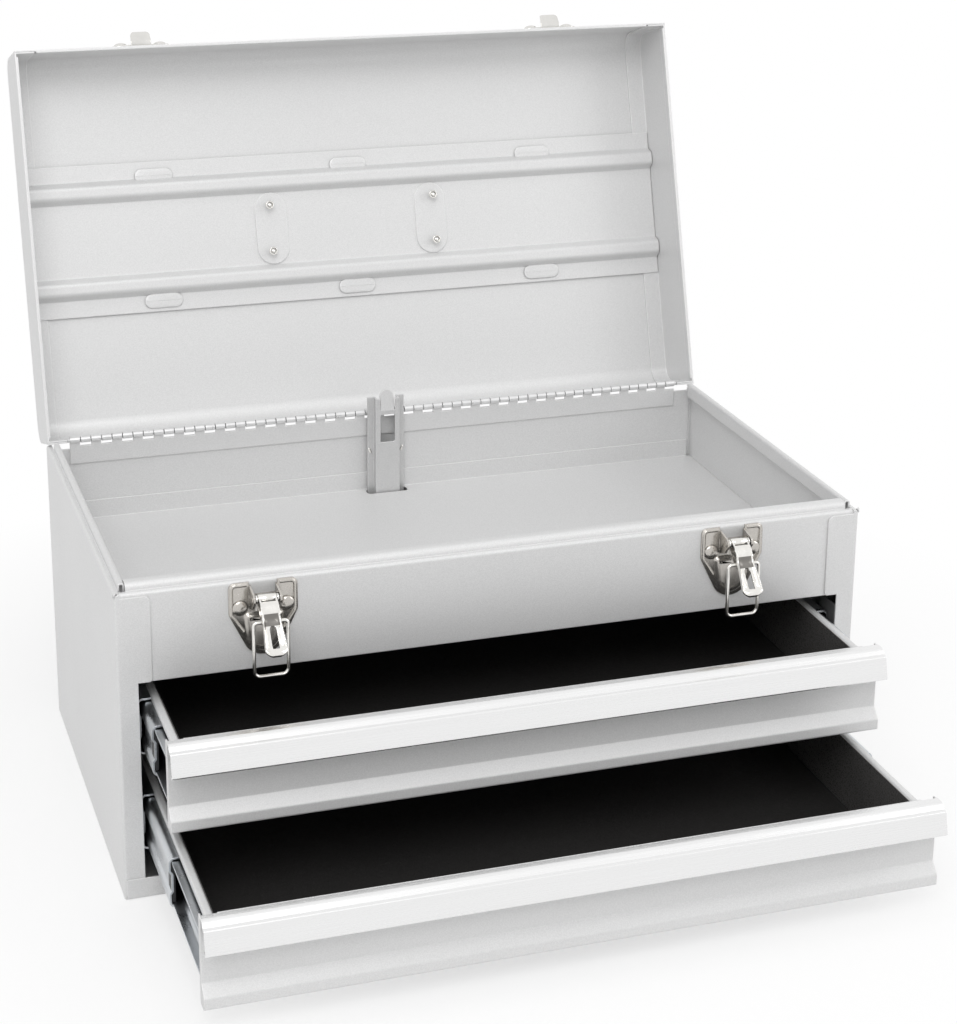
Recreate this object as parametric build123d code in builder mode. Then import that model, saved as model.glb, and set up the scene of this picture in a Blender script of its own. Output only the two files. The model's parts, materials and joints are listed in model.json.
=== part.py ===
"""Portable steel tool chest: top tray under a hinged lid, two drawers on ball-bearing slides.

Millimetres. X runs across the chest, the front faces -Y, Z is up, and the origin is the middle
of the underside. The rest position has the lid open on its stop, both drawers part way out and
the latches hanging. Lid pieces are drawn with the lid shut and drawer pieces with the drawers
shut, and each is carried to its rest place when it is written.
"""

import os
from math import cos, radians, sin, sqrt

from build123d import *

os.makedirs("parts", exist_ok=True)

# ---------------------------------------------------------------- driving dimensions
WIDTH = 474.0               # outside of the side panels
DEPTH = 270.0               # front rail to rear flanges
BODY_HEIGHT = 196.5         # floor to the ledge that the lid closes on
SHEET = 1.0                 # steel sheet of the body and lid
BEND = 1.5                  # bend radius at the middle of the sheet
FIT = 0.1                   # gap between a panel and the panel it is welded inside
CLEAR = 0.5                 # gap between pieces that move past each other

POST_WIDTH = 12.5           # front flange beside the drawer bay
SEAM_WIDTH = 21.0           # front flange over the header
SEAM_DROP = 2.4             # top of that flange below the ledge
SEAM_ROUND = 4.0            # its inner top corner, and half that at its foot
REAR_FLANGE = 16.0
RAIL_HEIGHT = 13.5          # front rail of the base pan
PAN_FLANGE = 12.0
BAY_TOP = 140.0             # underside of the header
LEDGE = 3.5                 # ledge outside the raised lip
LIP_RISE = 4.5
LIP_WIDTH_FRONT = 9.0
LIP_WIDTH_SIDE = 4.0
LIP_HEM = 10.0
LIP_BEND = 1.2
LIP_ROUND = 3.0             # front edge of the header's lip
TRAY_FLANGE = 13.0          # upturned edge at the back of the tray floor

HINGE_SETBACK = 15.0        # hinge ends inside the side panels
HINGE_PITCH = 14.3          # one body knuckle and one lid knuckle
KNUCKLE_RADIUS = 2.2
PIN_RADIUS = 1.2            # peened ends of the pin
PIN_END = 1.5
PIN_FIT = 0.05
LEAF = 1.2
LEAF_HEIGHT = 17.0          # hinge axis to the edge of a leaf
KNUCKLE_SLOT = 4.3          # hinge axis to the foot of the slots between knuckles
HINGE_RISE = 3.0            # hinge axis above the ledge
BACK_DROP = 3.5             # top of the back panel below the ledge

LID_OPEN = 107.0            # degrees from shut to the open stop
LID_HEIGHT = 51.0
LID_ROUND = 13.0
LID_SETBACK = 0.5           # lid ends inside the side panels, and lid front behind the header
LID_GAP = 0.7               # lid rim above the ledge when shut
LID_HEM = 6.0
WELD_FLANGE = 13.0
STIFFENER = 0.8
STIFFENER_HALF = 53.0
RIB_OFFSET = 33.4
RIB_WIDTH = 15.0
RIB_DEPTH = 6.0
PAD_SPACING = 119.0         # carry handle brackets, centre to centre
PAD_LENGTH = 51.0
PAD_WIDTH = 23.0
PAD_RAISE = 1.0
STIFFENER_SETBACK = 4.3      # middle of the stiffener and handle in front of the lid's middle

PANEL_GAP = 3.8             # drawer front to the posts beside it
FRONT_HEIGHT = 55.6         # foot of a drawer front to the top of its pull
BAND_HEIGHT = 7.0           # proud band along the foot of a drawer front
BAND_STEP = 6.0             # band proud of the flat face
BEVEL_TOP = 13.7
PULL_DEPTH = 14.6           # pull proud of the flat face
PULL_FOOT = 37.5            # foot of the pull above the foot of the front
LOWER_FOOT = 16.0           # foot of the lower drawer front
DRAWER_PITCH = 62.7
BOX_DEPTH = 239.0
BOX_FLOOR = 2.0             # drawer floor above the foot of the front
BOX_RIM = 8.0               # outward rim along each side
BOX_RIM_TOP = 54.5
BOX_BACK = 38.0             # back wall of a drawer above the foot of the front
MAT = 2.5
UPPER_OUT = 70.9            # rest positions of the drawers, from shut
LOWER_OUT = 153.7

SLIDE_THICKNESS = 12.7
SLIDE_LENGTH = 236.0
SLIDE_HEIGHT = 36.0
SLIDE_CENTRE = 33.0         # slide centre above the foot of the front
SLIDE_WALL = 1.2
UPRIGHT_WIDTH = 20.0

BAR_WEB = 17.5              # lock bar: raised web, then a flange each side
BAR_WIDTH = 26.5
BAR_DEPTH = 6.7
BAR_WALL = 1.2
BAR_TOP_RISE = 15.0         # lock bar above the ledge with the lid open
BAR_FOOT = 34.0
BAR_TRAVEL = 8.0

LATCH_SETBACK = 87.5        # middle of a latch inside the side panel
LATCH_WIDTH = 41.5
LATCH_TOP_DROP = 1.0        # plate top below the ledge
LATCH_HEIGHT = 46.5
LATCH_SHIELD = 12.5         # radius of its foot
LATCH_PLATE = 1.2
LATCH_RIVETS = 28.4
LEVER_LENGTH = 36.0
LEVER_WIDTH = 10.8
LEVER_OPEN = 40.0           # rest angle of a lever from straight down
LEVER_SHUT = 25.0           # latched angle of a lever from straight down
BAIL_ARM = 14.0             # lever pivot to bail pivot
BAIL_LENGTH = 34.0
BAIL_WIDTH = 22.6
WIRE = 2.2
LATCH_STANDOFF = 10.5       # lever pivot proud of the header
LATCH_PIVOT_DROP = 8.5      # lever pivot below the ledge
LATCH_PIN = 1.5             # radius of the lever's pivot pin
HOOK_REACH = 8.0            # bail bar proud of the lid when latched
KEEPER_WIDTH = 40.0
KEEPER_HEIGHT = 26.0
KEEPER_HOOK = 14.0          # width of a keeper's hook

HANDLE_WIRE = 6.0
HANDLE_ARM = 40.0           # pivot to grip
HANDLE_HALF = 42.0          # arms, either side of the middle
HANDLE_GAP = 0.4
GRIP_RADIUS = 7.0
GRIP_LENGTH = 66.0
HANDLE_HANG = LID_OPEN - 90.0       # hanging handle to the open lid

# ---------------------------------------------------------------- places worked out from them
HALF = WIDTH / 2
FRONT = -DEPTH / 2
BACK = DEPTH / 2
FLANGE_Y = FRONT + SHEET            # outer face of the side panels' front flanges
HEADER_Y = FRONT + 2 * SHEET        # outer face of the header
INNER = HALF - SHEET                # inside of the side panels
PANEL_Y = BACK - SHEET              # outer face of the back panel
INNER_BACK = BACK - 2 * SHEET       # inside of the back panel
LIP_TOP = BODY_HEIGHT + LIP_RISE
BACK_TOP = BODY_HEIGHT - BACK_DROP
TRAY_TOP = BAY_TOP + 2 * SHEET      # the tray floor lies on the header's return
LIP_Y = HEADER_Y + LEDGE            # front of the header's lip
LIP_X = HALF - LEDGE                # outside of the side lips
LIP_INNER_X = LIP_X - LIP_WIDTH_SIDE

HINGE_Y = INNER_BACK - LEAF / 2
HINGE_Z = BODY_HEIGHT + HINGE_RISE
LID_X = HALF - LID_SETBACK
LID_FRONT = HEADER_Y + LID_SETBACK
LID_BACK = PANEL_Y
LID_RIM = BODY_HEIGHT + LID_GAP
LID_TOP = LID_RIM + LID_HEIGHT
LID_MIDDLE = (LID_FRONT + LID_BACK) / 2 - STIFFENER_SETBACK
CEILING = LID_TOP - SHEET

PANEL_HALF = HALF - POST_WIDTH - PANEL_GAP      # half width of a drawer front
DRAWER_FACE = FLANGE_Y              # proud band of a shut drawer, level with the posts
FLAT_FACE = DRAWER_FACE + BAND_STEP
BOX_HALF = HALF - POST_WIDTH - SLIDE_THICKNESS - FIT
BOX_FRONT = FLAT_FACE + SHEET
BOX_REAR = BOX_FRONT + BOX_DEPTH
SLIDE_FRONT = BOX_FRONT + 3 * SHEET
BAY_X = BOX_HALF + SLIDE_THICKNESS  # face that the cabinet members are fixed to

BAR_BACK = HINGE_Y - KNUCKLE_RADIUS - CLEAR
BAR_FRONT = BAR_BACK - BAR_DEPTH

LATCH_SPACING = WIDTH - 2 * LATCH_SETBACK
LATCH_PIVOT_Y = HEADER_Y - LATCH_STANDOFF
LATCH_PIVOT_Z = BODY_HEIGHT - LATCH_PIVOT_DROP

drawers = {
    "upper": (LOWER_FOOT + DRAWER_PITCH, Location((0, -UPPER_OUT, 0)), UPPER_OUT),
    "lower": (LOWER_FOOT, Location((0, -LOWER_OUT, 0)), LOWER_OUT),
}
sides = {"left": -1, "right": 1}


HOOK_Y = LID_FRONT - HOOK_REACH         # bail bar in the keeper, lid shut
SHUT_Y = LATCH_PIVOT_Y - BAIL_ARM * sin(radians(LEVER_SHUT))
SHUT_Z = LATCH_PIVOT_Z - BAIL_ARM * cos(radians(LEVER_SHUT))
HOOK_Z = SHUT_Z + sqrt(BAIL_LENGTH ** 2 - (HOOK_Y - SHUT_Y) ** 2)

HANDLE_Y = LID_MIDDLE
HANDLE_Z = LID_TOP + HANDLE_GAP + HANDLE_WIRE / 2

# ---------------------------------------------------------------- helpers
def fold_line(points, radius=0.0):
    """The middle line of a folded sheet: one bend radius, or one for each bend."""
    with BuildLine() as line:
        FilletPolyline(*points, radius=radius)
    return line.line


def across(x):
    """A plane square to X at x: sketch X is +Y and sketch Y is +Z."""
    return Plane(origin=(x, 0, 0), x_dir=(0, 1, 0), z_dir=(1, 0, 0))


def facing(y):
    """A plane square to Y at y, seen from the front: sketch X is +X and sketch Y is +Z."""
    return Plane(origin=(0, y, 0), x_dir=(1, 0, 0), z_dir=(0, -1, 0))


def turned(y, z, angle):
    """A turn about an axis along X through (y, z)."""
    return Location((0, y, z)) * Location((0, 0, 0), (angle, 0, 0)) * Location((0, -y, -z))


def bent_rod(points, cut):
    """The middle line of a bent rod, each corner eased by one short straight."""
    points = [Vector(*p) for p in points]
    eased = [points[0]]
    for before, corner, after in zip(points, points[1:], points[2:]):
        eased += [corner + (before - corner).normalized() * cut, corner + (after - corner).normalized() * cut]
    return Polyline(*eased, points[-1])


def write(piece, name, place=Location()):
    """Label a finished piece and write it at its rest place."""
    piece.part.label = name
    export_step(piece.part.moved(place), f"parts/{name}.step")


# ---------------------------------------------------------------- body panels
def side_rim():
    """Section of a side panel's top: wall, ledge, raised lip and hem, as (x, z) points."""
    wall_x, out_x, in_x = HALF - SHEET / 2, LIP_X - SHEET / 2, LIP_INNER_X + SHEET / 2
    ledge_z, top_z = BODY_HEIGHT - SHEET / 2, LIP_TOP - SHEET / 2
    return [(wall_x, BODY_HEIGHT - LIP_HEM), (wall_x, ledge_z), (out_x, ledge_z),
            (out_x, top_z), (in_x, top_z), (in_x, LIP_TOP - LIP_HEM)]


with BuildPart() as side_right:
    flange_y, wall_x, rear_y = FLANGE_Y + SHEET / 2, HALF - SHEET / 2, BACK - SHEET / 2
    flange_top = BODY_HEIGHT - SEAM_DROP
    with BuildSketch():
        trace(fold_line([(LIP_X, flange_y), (wall_x, flange_y), (wall_x, rear_y), (HALF - REAR_FLANGE, rear_y)],
                        radius=[BEND, 0]), line_width=SHEET)
    extrude(amount=BODY_HEIGHT - SHEET / 2 - BEND - FIT)
    with BuildSketch(facing(FLANGE_Y)):
        trace(fold_line(side_rim(), radius=[BEND, 0, LIP_BEND, LIP_BEND]), line_width=SHEET)
    extrude(amount=FLANGE_Y - BACK)
    # the lip starts behind the header's ledge and ends in front of the hinge
    for y_low, y_high in ((FRONT, LIP_Y + LIP_WIDTH_SIDE / 2), (HINGE_Y - 8, BACK + SHEET)):
        with BuildSketch(Plane.XY.offset(LIP_TOP - LIP_HEM - SHEET)):
            with Locations((LIP_X - SEAM_WIDTH / 2, (y_low + y_high) / 2)):
                Rectangle(SEAM_WIDTH, y_high - y_low)
        extrude(amount=LIP_HEM + 2 * SHEET, mode=Mode.SUBTRACT)
    # post beside the drawer bay, and the seam flange over the header
    with BuildSketch(facing(FLANGE_Y)):
        with BuildLine():
            FilletPolyline((LIP_X, SHEET), (HALF - POST_WIDTH, SHEET), (HALF - POST_WIDTH, BAY_TOP),
                           (HALF - SEAM_WIDTH, BAY_TOP), (HALF - SEAM_WIDTH, flange_top), (LIP_X, flange_top),
                           radius=[0, 0, 0, SEAM_ROUND / 2, SEAM_ROUND, 0], close=True)
        make_face()
    extrude(amount=-SHEET)
    # the corner is closed up to the ledge and rounded like the post below it
    corner = BEND + SHEET / 2
    with BuildSketch(Plane.XY.offset(flange_top - SHEET)):
        with Locations(((LIP_X + INNER) / 2, FLANGE_Y + corner / 2)):
            Rectangle(INNER - LIP_X, corner)
    extrude(amount=SEAM_DROP + 0.3 * SHEET)
    with BuildSketch(Plane.XY.offset(BODY_HEIGHT - LIP_HEM - SHEET)):
        with Locations((HALF - corner / 2, FLANGE_Y + corner / 2)):
            Rectangle(corner, corner)
        with Locations((HALF - corner, FLANGE_Y + corner)):
            Circle(corner, mode=Mode.SUBTRACT)
    extrude(amount=LIP_HEM + 2 * SHEET, mode=Mode.SUBTRACT)
    # the rear flange stops below the lid, and the base pan's floor runs under the post
    with BuildSketch(facing(BACK + SHEET)):
        with Locations((HALF - REAR_FLANGE, BODY_HEIGHT)):
            Rectangle(2 * (REAR_FLANGE - LEDGE), 2 * BACK_DROP)
    extrude(amount=-3 * SHEET, mode=Mode.SUBTRACT)
    with BuildSketch():
        with Locations((INNER - POST_WIDTH / 2, FLANGE_Y + BEND)):
            Rectangle(POST_WIDTH, 2 * BEND + 2 * SHEET)
    extrude(amount=SHEET + BEND, mode=Mode.SUBTRACT)
write(side_right, "side_panel_right")

with BuildPart() as side_left:
    mirror(side_right.part, about=Plane.YZ)
write(side_left, "side_panel_left")

with BuildPart() as base_pan:
    pan_x = INNER - FIT
    with BuildSketch(across(-pan_x)):
        trace(fold_line([(FRONT + SHEET / 2, RAIL_HEIGHT), (FRONT + SHEET / 2, SHEET / 2),
                         (INNER_BACK - FIT - SHEET / 2, SHEET / 2),
                         (INNER_BACK - FIT - SHEET / 2, PAN_FLANGE)], radius=[BEND, 0]), line_width=SHEET)
    extrude(amount=2 * pan_x)
    with BuildSketch(facing(FLANGE_Y + SHEET + BEND)):
        for x in (-1, 1):
            with Locations((x * (pan_x - SHEET / 2), PAN_FLANGE / 2)):
                Rectangle(SHEET, PAN_FLANGE)
    extrude(amount=FLANGE_Y - INNER_BACK + 2 * SHEET + 2 * BEND)
write(base_pan, "base_pan")

with BuildPart() as back_panel:
    with BuildSketch(facing(INNER_BACK)):
        with Locations((0, (SHEET + BACK_TOP) / 2)):
            Rectangle(2 * (INNER - BEND), BACK_TOP - SHEET)
    extrude(amount=-SHEET)
write(back_panel, "back_panel")

with BuildPart() as header:
    face_y = HEADER_Y + SHEET / 2
    lip_in = LIP_Y + LIP_WIDTH_FRONT - SHEET / 2
    head = [(lip_in, BAY_TOP + SHEET / 2), (face_y, BAY_TOP + SHEET / 2), (face_y, BODY_HEIGHT - SHEET / 2),
            (LIP_Y + SHEET / 2, BODY_HEIGHT - SHEET / 2), (LIP_Y + SHEET / 2, LIP_TOP - SHEET / 2),
            (lip_in, LIP_TOP - SHEET / 2), (lip_in, LIP_TOP - LIP_HEM)]
    with BuildSketch(across(0)):
        trace(fold_line(head, radius=[0, BEND, 0, LIP_ROUND, BEND]), line_width=SHEET)
    extrude(amount=LIP_INNER_X - FIT, both=True)
    with BuildSketch(across(0)):
        trace(fold_line(head[:3] + [(LIP_Y, BODY_HEIGHT - SHEET / 2)], radius=[0, BEND]), line_width=SHEET)
    extrude(amount=LIP_X - FIT, both=True)
write(header, "header")

with BuildPart() as tray_floor:
    tray_x = INNER - FIT
    tray_front, tray_back = HEADER_Y + SHEET + BEND, INNER_BACK - FIT
    floor_z = TRAY_TOP - SHEET / 2
    with BuildSketch(facing(tray_front)):
        trace(fold_line([(-tray_x + SHEET / 2, TRAY_TOP - 8), (-tray_x + SHEET / 2, floor_z),
                         (tray_x - SHEET / 2, floor_z), (tray_x - SHEET / 2, TRAY_TOP - 8)]), line_width=SHEET)
    extrude(amount=tray_front - tray_back + BEND)
    with BuildSketch(across(0)):
        trace(fold_line([(tray_back - 10, floor_z), (tray_back - SHEET / 2, floor_z),
                         (tray_back - SHEET / 2, TRAY_TOP + TRAY_FLANGE)]), line_width=SHEET)
    extrude(amount=tray_x - BEND - SHEET, both=True)
    # way through for the lock bar
    with BuildSketch(Plane.XY.offset(TRAY_TOP - 2 * SHEET)):
        with Locations((0, (BAR_FRONT + BAR_BACK) / 2 - CLEAR)):
            RectangleRounded(BAR_WIDTH + 6 * CLEAR, BAR_DEPTH + 4 * CLEAR, 2.5)
    extrude(amount=4 * SHEET, mode=Mode.SUBTRACT)
write(tray_floor, "tray_floor")

for side, sign in sides.items():
    for place, y in (("front", FLANGE_Y + SHEET + CLEAR), ("rear", SLIDE_FRONT + SLIDE_LENGTH - 2 * UPRIGHT_WIDTH)):
        with BuildPart() as upright:
            x_out, x_in = sign * (INNER - SHEET / 2), sign * (BAY_X + SHEET / 2)
            y_low, y_high = y + SHEET / 2, y + UPRIGHT_WIDTH - SHEET / 2
            with BuildSketch(Plane.XY.offset(PAN_FLANGE + SHEET)):
                trace(fold_line([(x_out, y_low), (x_in, y_low), (x_in, y_high), (x_out, y_high)]),
                      line_width=SHEET)
            extrude(amount=TRAY_TOP - 10 - PAN_FLANGE - SHEET)
        write(upright, f"upright_{place}_{side}")


# ---------------------------------------------------------------- piano hinge
knuckles = int((WIDTH - 2 * HINGE_SETBACK) // HINGE_PITCH)
hinge_half = knuckles * HINGE_PITCH / 2
knuckle_width = HINGE_PITCH / 2 - CLEAR
body_knuckles = [(i + 0.25) * HINGE_PITCH - hinge_half for i in range(knuckles)]
lid_knuckles = [x + HINGE_PITCH / 2 for x in body_knuckles]

# each leaf is drawn from the hinge axis (the way it points: -1 down, 1 up), then the slots
# that take the other leaf's knuckles are cut from it; the pin shows as a peened end on each
leaves = {
    "hinge_body_leaf": (-1, lid_knuckles, LEAF_HEIGHT, -1),
    "hinge_lid_leaf": (1, body_knuckles, LEAF_HEIGHT - 2.5, 1),
}
leaf_parts = {}
for name, (way, slots, height, pin_side) in leaves.items():
    with BuildPart() as leaf:
        with BuildSketch(across(-hinge_half)):
            with Locations((HINGE_Y, HINGE_Z)):
                RegularPolygon(KNUCKLE_RADIUS, side_count=6)
            with Locations((HINGE_Y, HINGE_Z + way * height / 2)):
                Rectangle(LEAF, height)
        extrude(amount=2 * hinge_half)
        with BuildSketch(facing(HINGE_Y - 2 * KNUCKLE_RADIUS)):
            with Locations(*[(x, HINGE_Z) for x in slots]):
                Rectangle(HINGE_PITCH - knuckle_width, 2 * KNUCKLE_SLOT)
        extrude(amount=-4 * KNUCKLE_RADIUS, mode=Mode.SUBTRACT)
        with BuildSketch(across(pin_side * (hinge_half - HINGE_PITCH / 4))):
            with Locations((HINGE_Y, HINGE_Z)):
                Circle(PIN_RADIUS)
        extrude(amount=pin_side * (HINGE_PITCH / 4 + PIN_END))
    leaf_parts[name] = leaf

# ---------------------------------------------------------------- lid, drawn shut
lid_place = turned(HINGE_Y, HINGE_Z, -LID_OPEN)
write(leaf_parts["hinge_body_leaf"], "hinge_body_leaf")
write(leaf_parts["hinge_lid_leaf"], "hinge_lid_leaf", lid_place)

with BuildPart() as lid_shell:
    front_y, back_y, top_z = LID_FRONT + SHEET / 2, LID_BACK - SHEET / 2, LID_TOP - SHEET / 2
    with BuildSketch(across(0)):
        trace(fold_line([(front_y, LID_RIM), (front_y, top_z), (back_y, top_z), (back_y, LID_RIM)],
                        radius=LID_ROUND - SHEET / 2), line_width=SHEET)
    extrude(amount=LID_X, both=True)
    with BuildSketch(across(0)):
        with Locations((LID_FRONT + 1.5 * SHEET, LID_RIM + LID_HEM / 2)):
            Rectangle(SHEET, LID_HEM)
    extrude(amount=LID_X - SHEET - WELD_FLANGE - CLEAR, both=True)
    # the back stops above the knuckles
    with BuildSketch(facing(LID_BACK - 2 * SHEET)):
        with Locations((0, LID_RIM)):
            Rectangle(2 * (hinge_half + PIN_END + CLEAR), 2 * (HINGE_Z + KNUCKLE_SLOT - LID_RIM))
    extrude(amount=-4 * SHEET, mode=Mode.SUBTRACT)
write(lid_shell, "lid_shell", lid_place)

with BuildPart() as lid_end_right:
    inner_front, inner_back = LID_FRONT + SHEET + FIT, LID_BACK - SHEET - FIT
    inner_round = LID_ROUND - SHEET - FIT
    for x, inset, mode in ((LID_X, 0, Mode.ADD), (LID_X - SHEET, SHEET, Mode.SUBTRACT)):
        with BuildSketch(across(x)) as end_outline:
            with BuildLine():
                FilletPolyline((inner_front + inset, LID_RIM), (inner_front + inset, CEILING - FIT - inset),
                               (inner_back - inset, CEILING - FIT - inset), (inner_back - inset, LID_RIM),
                               radius=inner_round - inset)
                Line((inner_back - inset, LID_RIM), (inner_front + inset, LID_RIM))
            make_face()
        extrude(amount=-WELD_FLANGE, mode=mode)
    with BuildSketch(across(LID_X - 2 * SHEET)):
        with Locations(((inner_front + inner_back) / 2, LID_RIM + LID_HEM / 2)):
            Rectangle(inner_back - inner_front - 6 * SHEET, LID_HEM)
    extrude(amount=SHEET)
write(lid_end_right, "lid_end_right", lid_place)

with BuildPart() as lid_end_left:
    mirror(lid_end_right.part, about=Plane.YZ)
write(lid_end_left, "lid_end_left", lid_place)

with BuildPart() as lid_stiffener:
    flat_z = CEILING - SHEET - 2 * FIT - STIFFENER / 2      # it lies on the ends' welding flanges
    ribs = [(-STIFFENER_HALF, 0)]
    for centre in (-RIB_OFFSET, RIB_OFFSET):
        ribs += [(centre - RIB_WIDTH / 2, 0), (centre - RIB_WIDTH / 4, -RIB_DEPTH),
                 (centre + RIB_WIDTH / 4, -RIB_DEPTH), (centre + RIB_WIDTH / 2, 0)]
    ribs += [(STIFFENER_HALF, 0)]
    with BuildSketch(across(0)):
        trace(fold_line([(LID_MIDDLE + y, flat_z + z) for y, z in ribs], radius=2 * [1.5, 3.0, 3.0, 1.5]),
              line_width=STIFFENER)
    extrude(amount=LID_X - SHEET - CLEAR, both=True)
    # raised pads under the carry handle's brackets
    with BuildSketch(Plane.XY.offset(flat_z - STIFFENER / 2 - PAD_RAISE)):
        with Locations(*[(x * PAD_SPACING / 2, HANDLE_Y) for x in (-1, 1)]):
            SlotOverall(PAD_LENGTH, PAD_WIDTH, rotation=90)
    extrude(amount=PAD_RAISE + STIFFENER / 2)
write(lid_stiffener, "lid_stiffener", lid_place)

with BuildPart() as keeper:
    plate_face = LID_FRONT - LATCH_PLATE
    with BuildSketch(facing(LID_FRONT)):
        with Locations((0, HOOK_Z + KEEPER_HEIGHT / 4)):
            RectangleRounded(KEEPER_WIDTH, KEEPER_HEIGHT, 5.0)
    extrude(amount=LATCH_PLATE)
    # the hook leaves the plate low, runs out under the bail bar and turns up in front of it
    bar_gap = WIRE / 2 + LATCH_PLATE / 2 + CLEAR
    with BuildSketch(across(0)):
        trace(fold_line([(plate_face + LATCH_PLATE / 2, HOOK_Z - 2 * bar_gap),
                         (HOOK_Y + HOOK_REACH / 2, HOOK_Z - 1.9 * bar_gap),
                         (HOOK_Y - bar_gap, HOOK_Z - 0.9 * bar_gap),
                         (HOOK_Y - bar_gap, HOOK_Z + 1.8 * bar_gap)], radius=bar_gap + 0.2),
              line_width=LATCH_PLATE)
    extrude(amount=KEEPER_HOOK / 2, both=True)
for side, sign in sides.items():
    write(keeper, f"keeper_{side}", lid_place * Location((sign * LATCH_SPACING / 2, 0, 0)))

# ---------------------------------------------------------------- carry handle, drawn flat on the lid
with BuildPart() as handle_bracket:
    arch_x, arch_z = HANDLE_WIRE / 2 + CLEAR + SHEET / 2, HANDLE_GAP + HANDLE_WIRE + CLEAR + SHEET / 2
    strap = [(-PAD_LENGTH / 2, SHEET / 2), (-arch_x, SHEET / 2), (-arch_x, arch_z),
             (arch_x, arch_z), (arch_x, SHEET / 2), (PAD_LENGTH / 2, SHEET / 2)]
    with BuildSketch(across(-PAD_WIDTH / 2)):
        trace(fold_line([(HANDLE_Y + y, LID_TOP + z) for y, z in strap], radius=[0, BEND, BEND, 0]),
              line_width=SHEET)
    extrude(amount=PAD_WIDTH)
    with BuildSketch(Plane.XY.offset(LID_TOP)):
        with Locations((0, HANDLE_Y)):
            SlotOverall(PAD_LENGTH, PAD_WIDTH, rotation=90)
    extrude(amount=2 * HANDLE_WIRE, mode=Mode.INTERSECT)
for side, sign in sides.items():
    write(handle_bracket, f"handle_bracket_{side}",
          lid_place * Location((sign * PAD_SPACING / 2, 0, 0)))

handle_place = lid_place * turned(HANDLE_Y, HANDLE_Z, HANDLE_HANG)
with BuildPart() as handle_bail:
    end_x = PAD_SPACING / 2 + PAD_WIDTH / 2
    with BuildLine():
        bent_rod([(-end_x, HANDLE_Y, HANDLE_Z), (-HANDLE_HALF, HANDLE_Y, HANDLE_Z),
                  (-HANDLE_HALF, HANDLE_Y + HANDLE_ARM, HANDLE_Z),
                  (HANDLE_HALF, HANDLE_Y + HANDLE_ARM, HANDLE_Z),
                  (HANDLE_HALF, HANDLE_Y, HANDLE_Z), (end_x, HANDLE_Y, HANDLE_Z)], cut=4.0)
    with BuildSketch(across(-end_x)):
        with Locations((HANDLE_Y, HANDLE_Z)):
            RegularPolygon(HANDLE_WIRE / 2, side_count=12)
    sweep(transition=Transition.RIGHT)
write(handle_bail, "handle_bail", handle_place)

with BuildPart() as handle_grip:
    with BuildSketch(across(0)):
        with Locations((HANDLE_Y + HANDLE_ARM, HANDLE_Z)):
            Circle(GRIP_RADIUS)
    extrude(amount=GRIP_LENGTH / 2, both=True)
    with BuildSketch(across(0)):
        with Locations((HANDLE_Y + HANDLE_ARM, HANDLE_Z)):
            Circle(HANDLE_WIRE / 2 + PIN_FIT)
    extrude(amount=GRIP_LENGTH, both=True, mode=Mode.SUBTRACT)
write(handle_grip, "handle_grip", handle_place)

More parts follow.
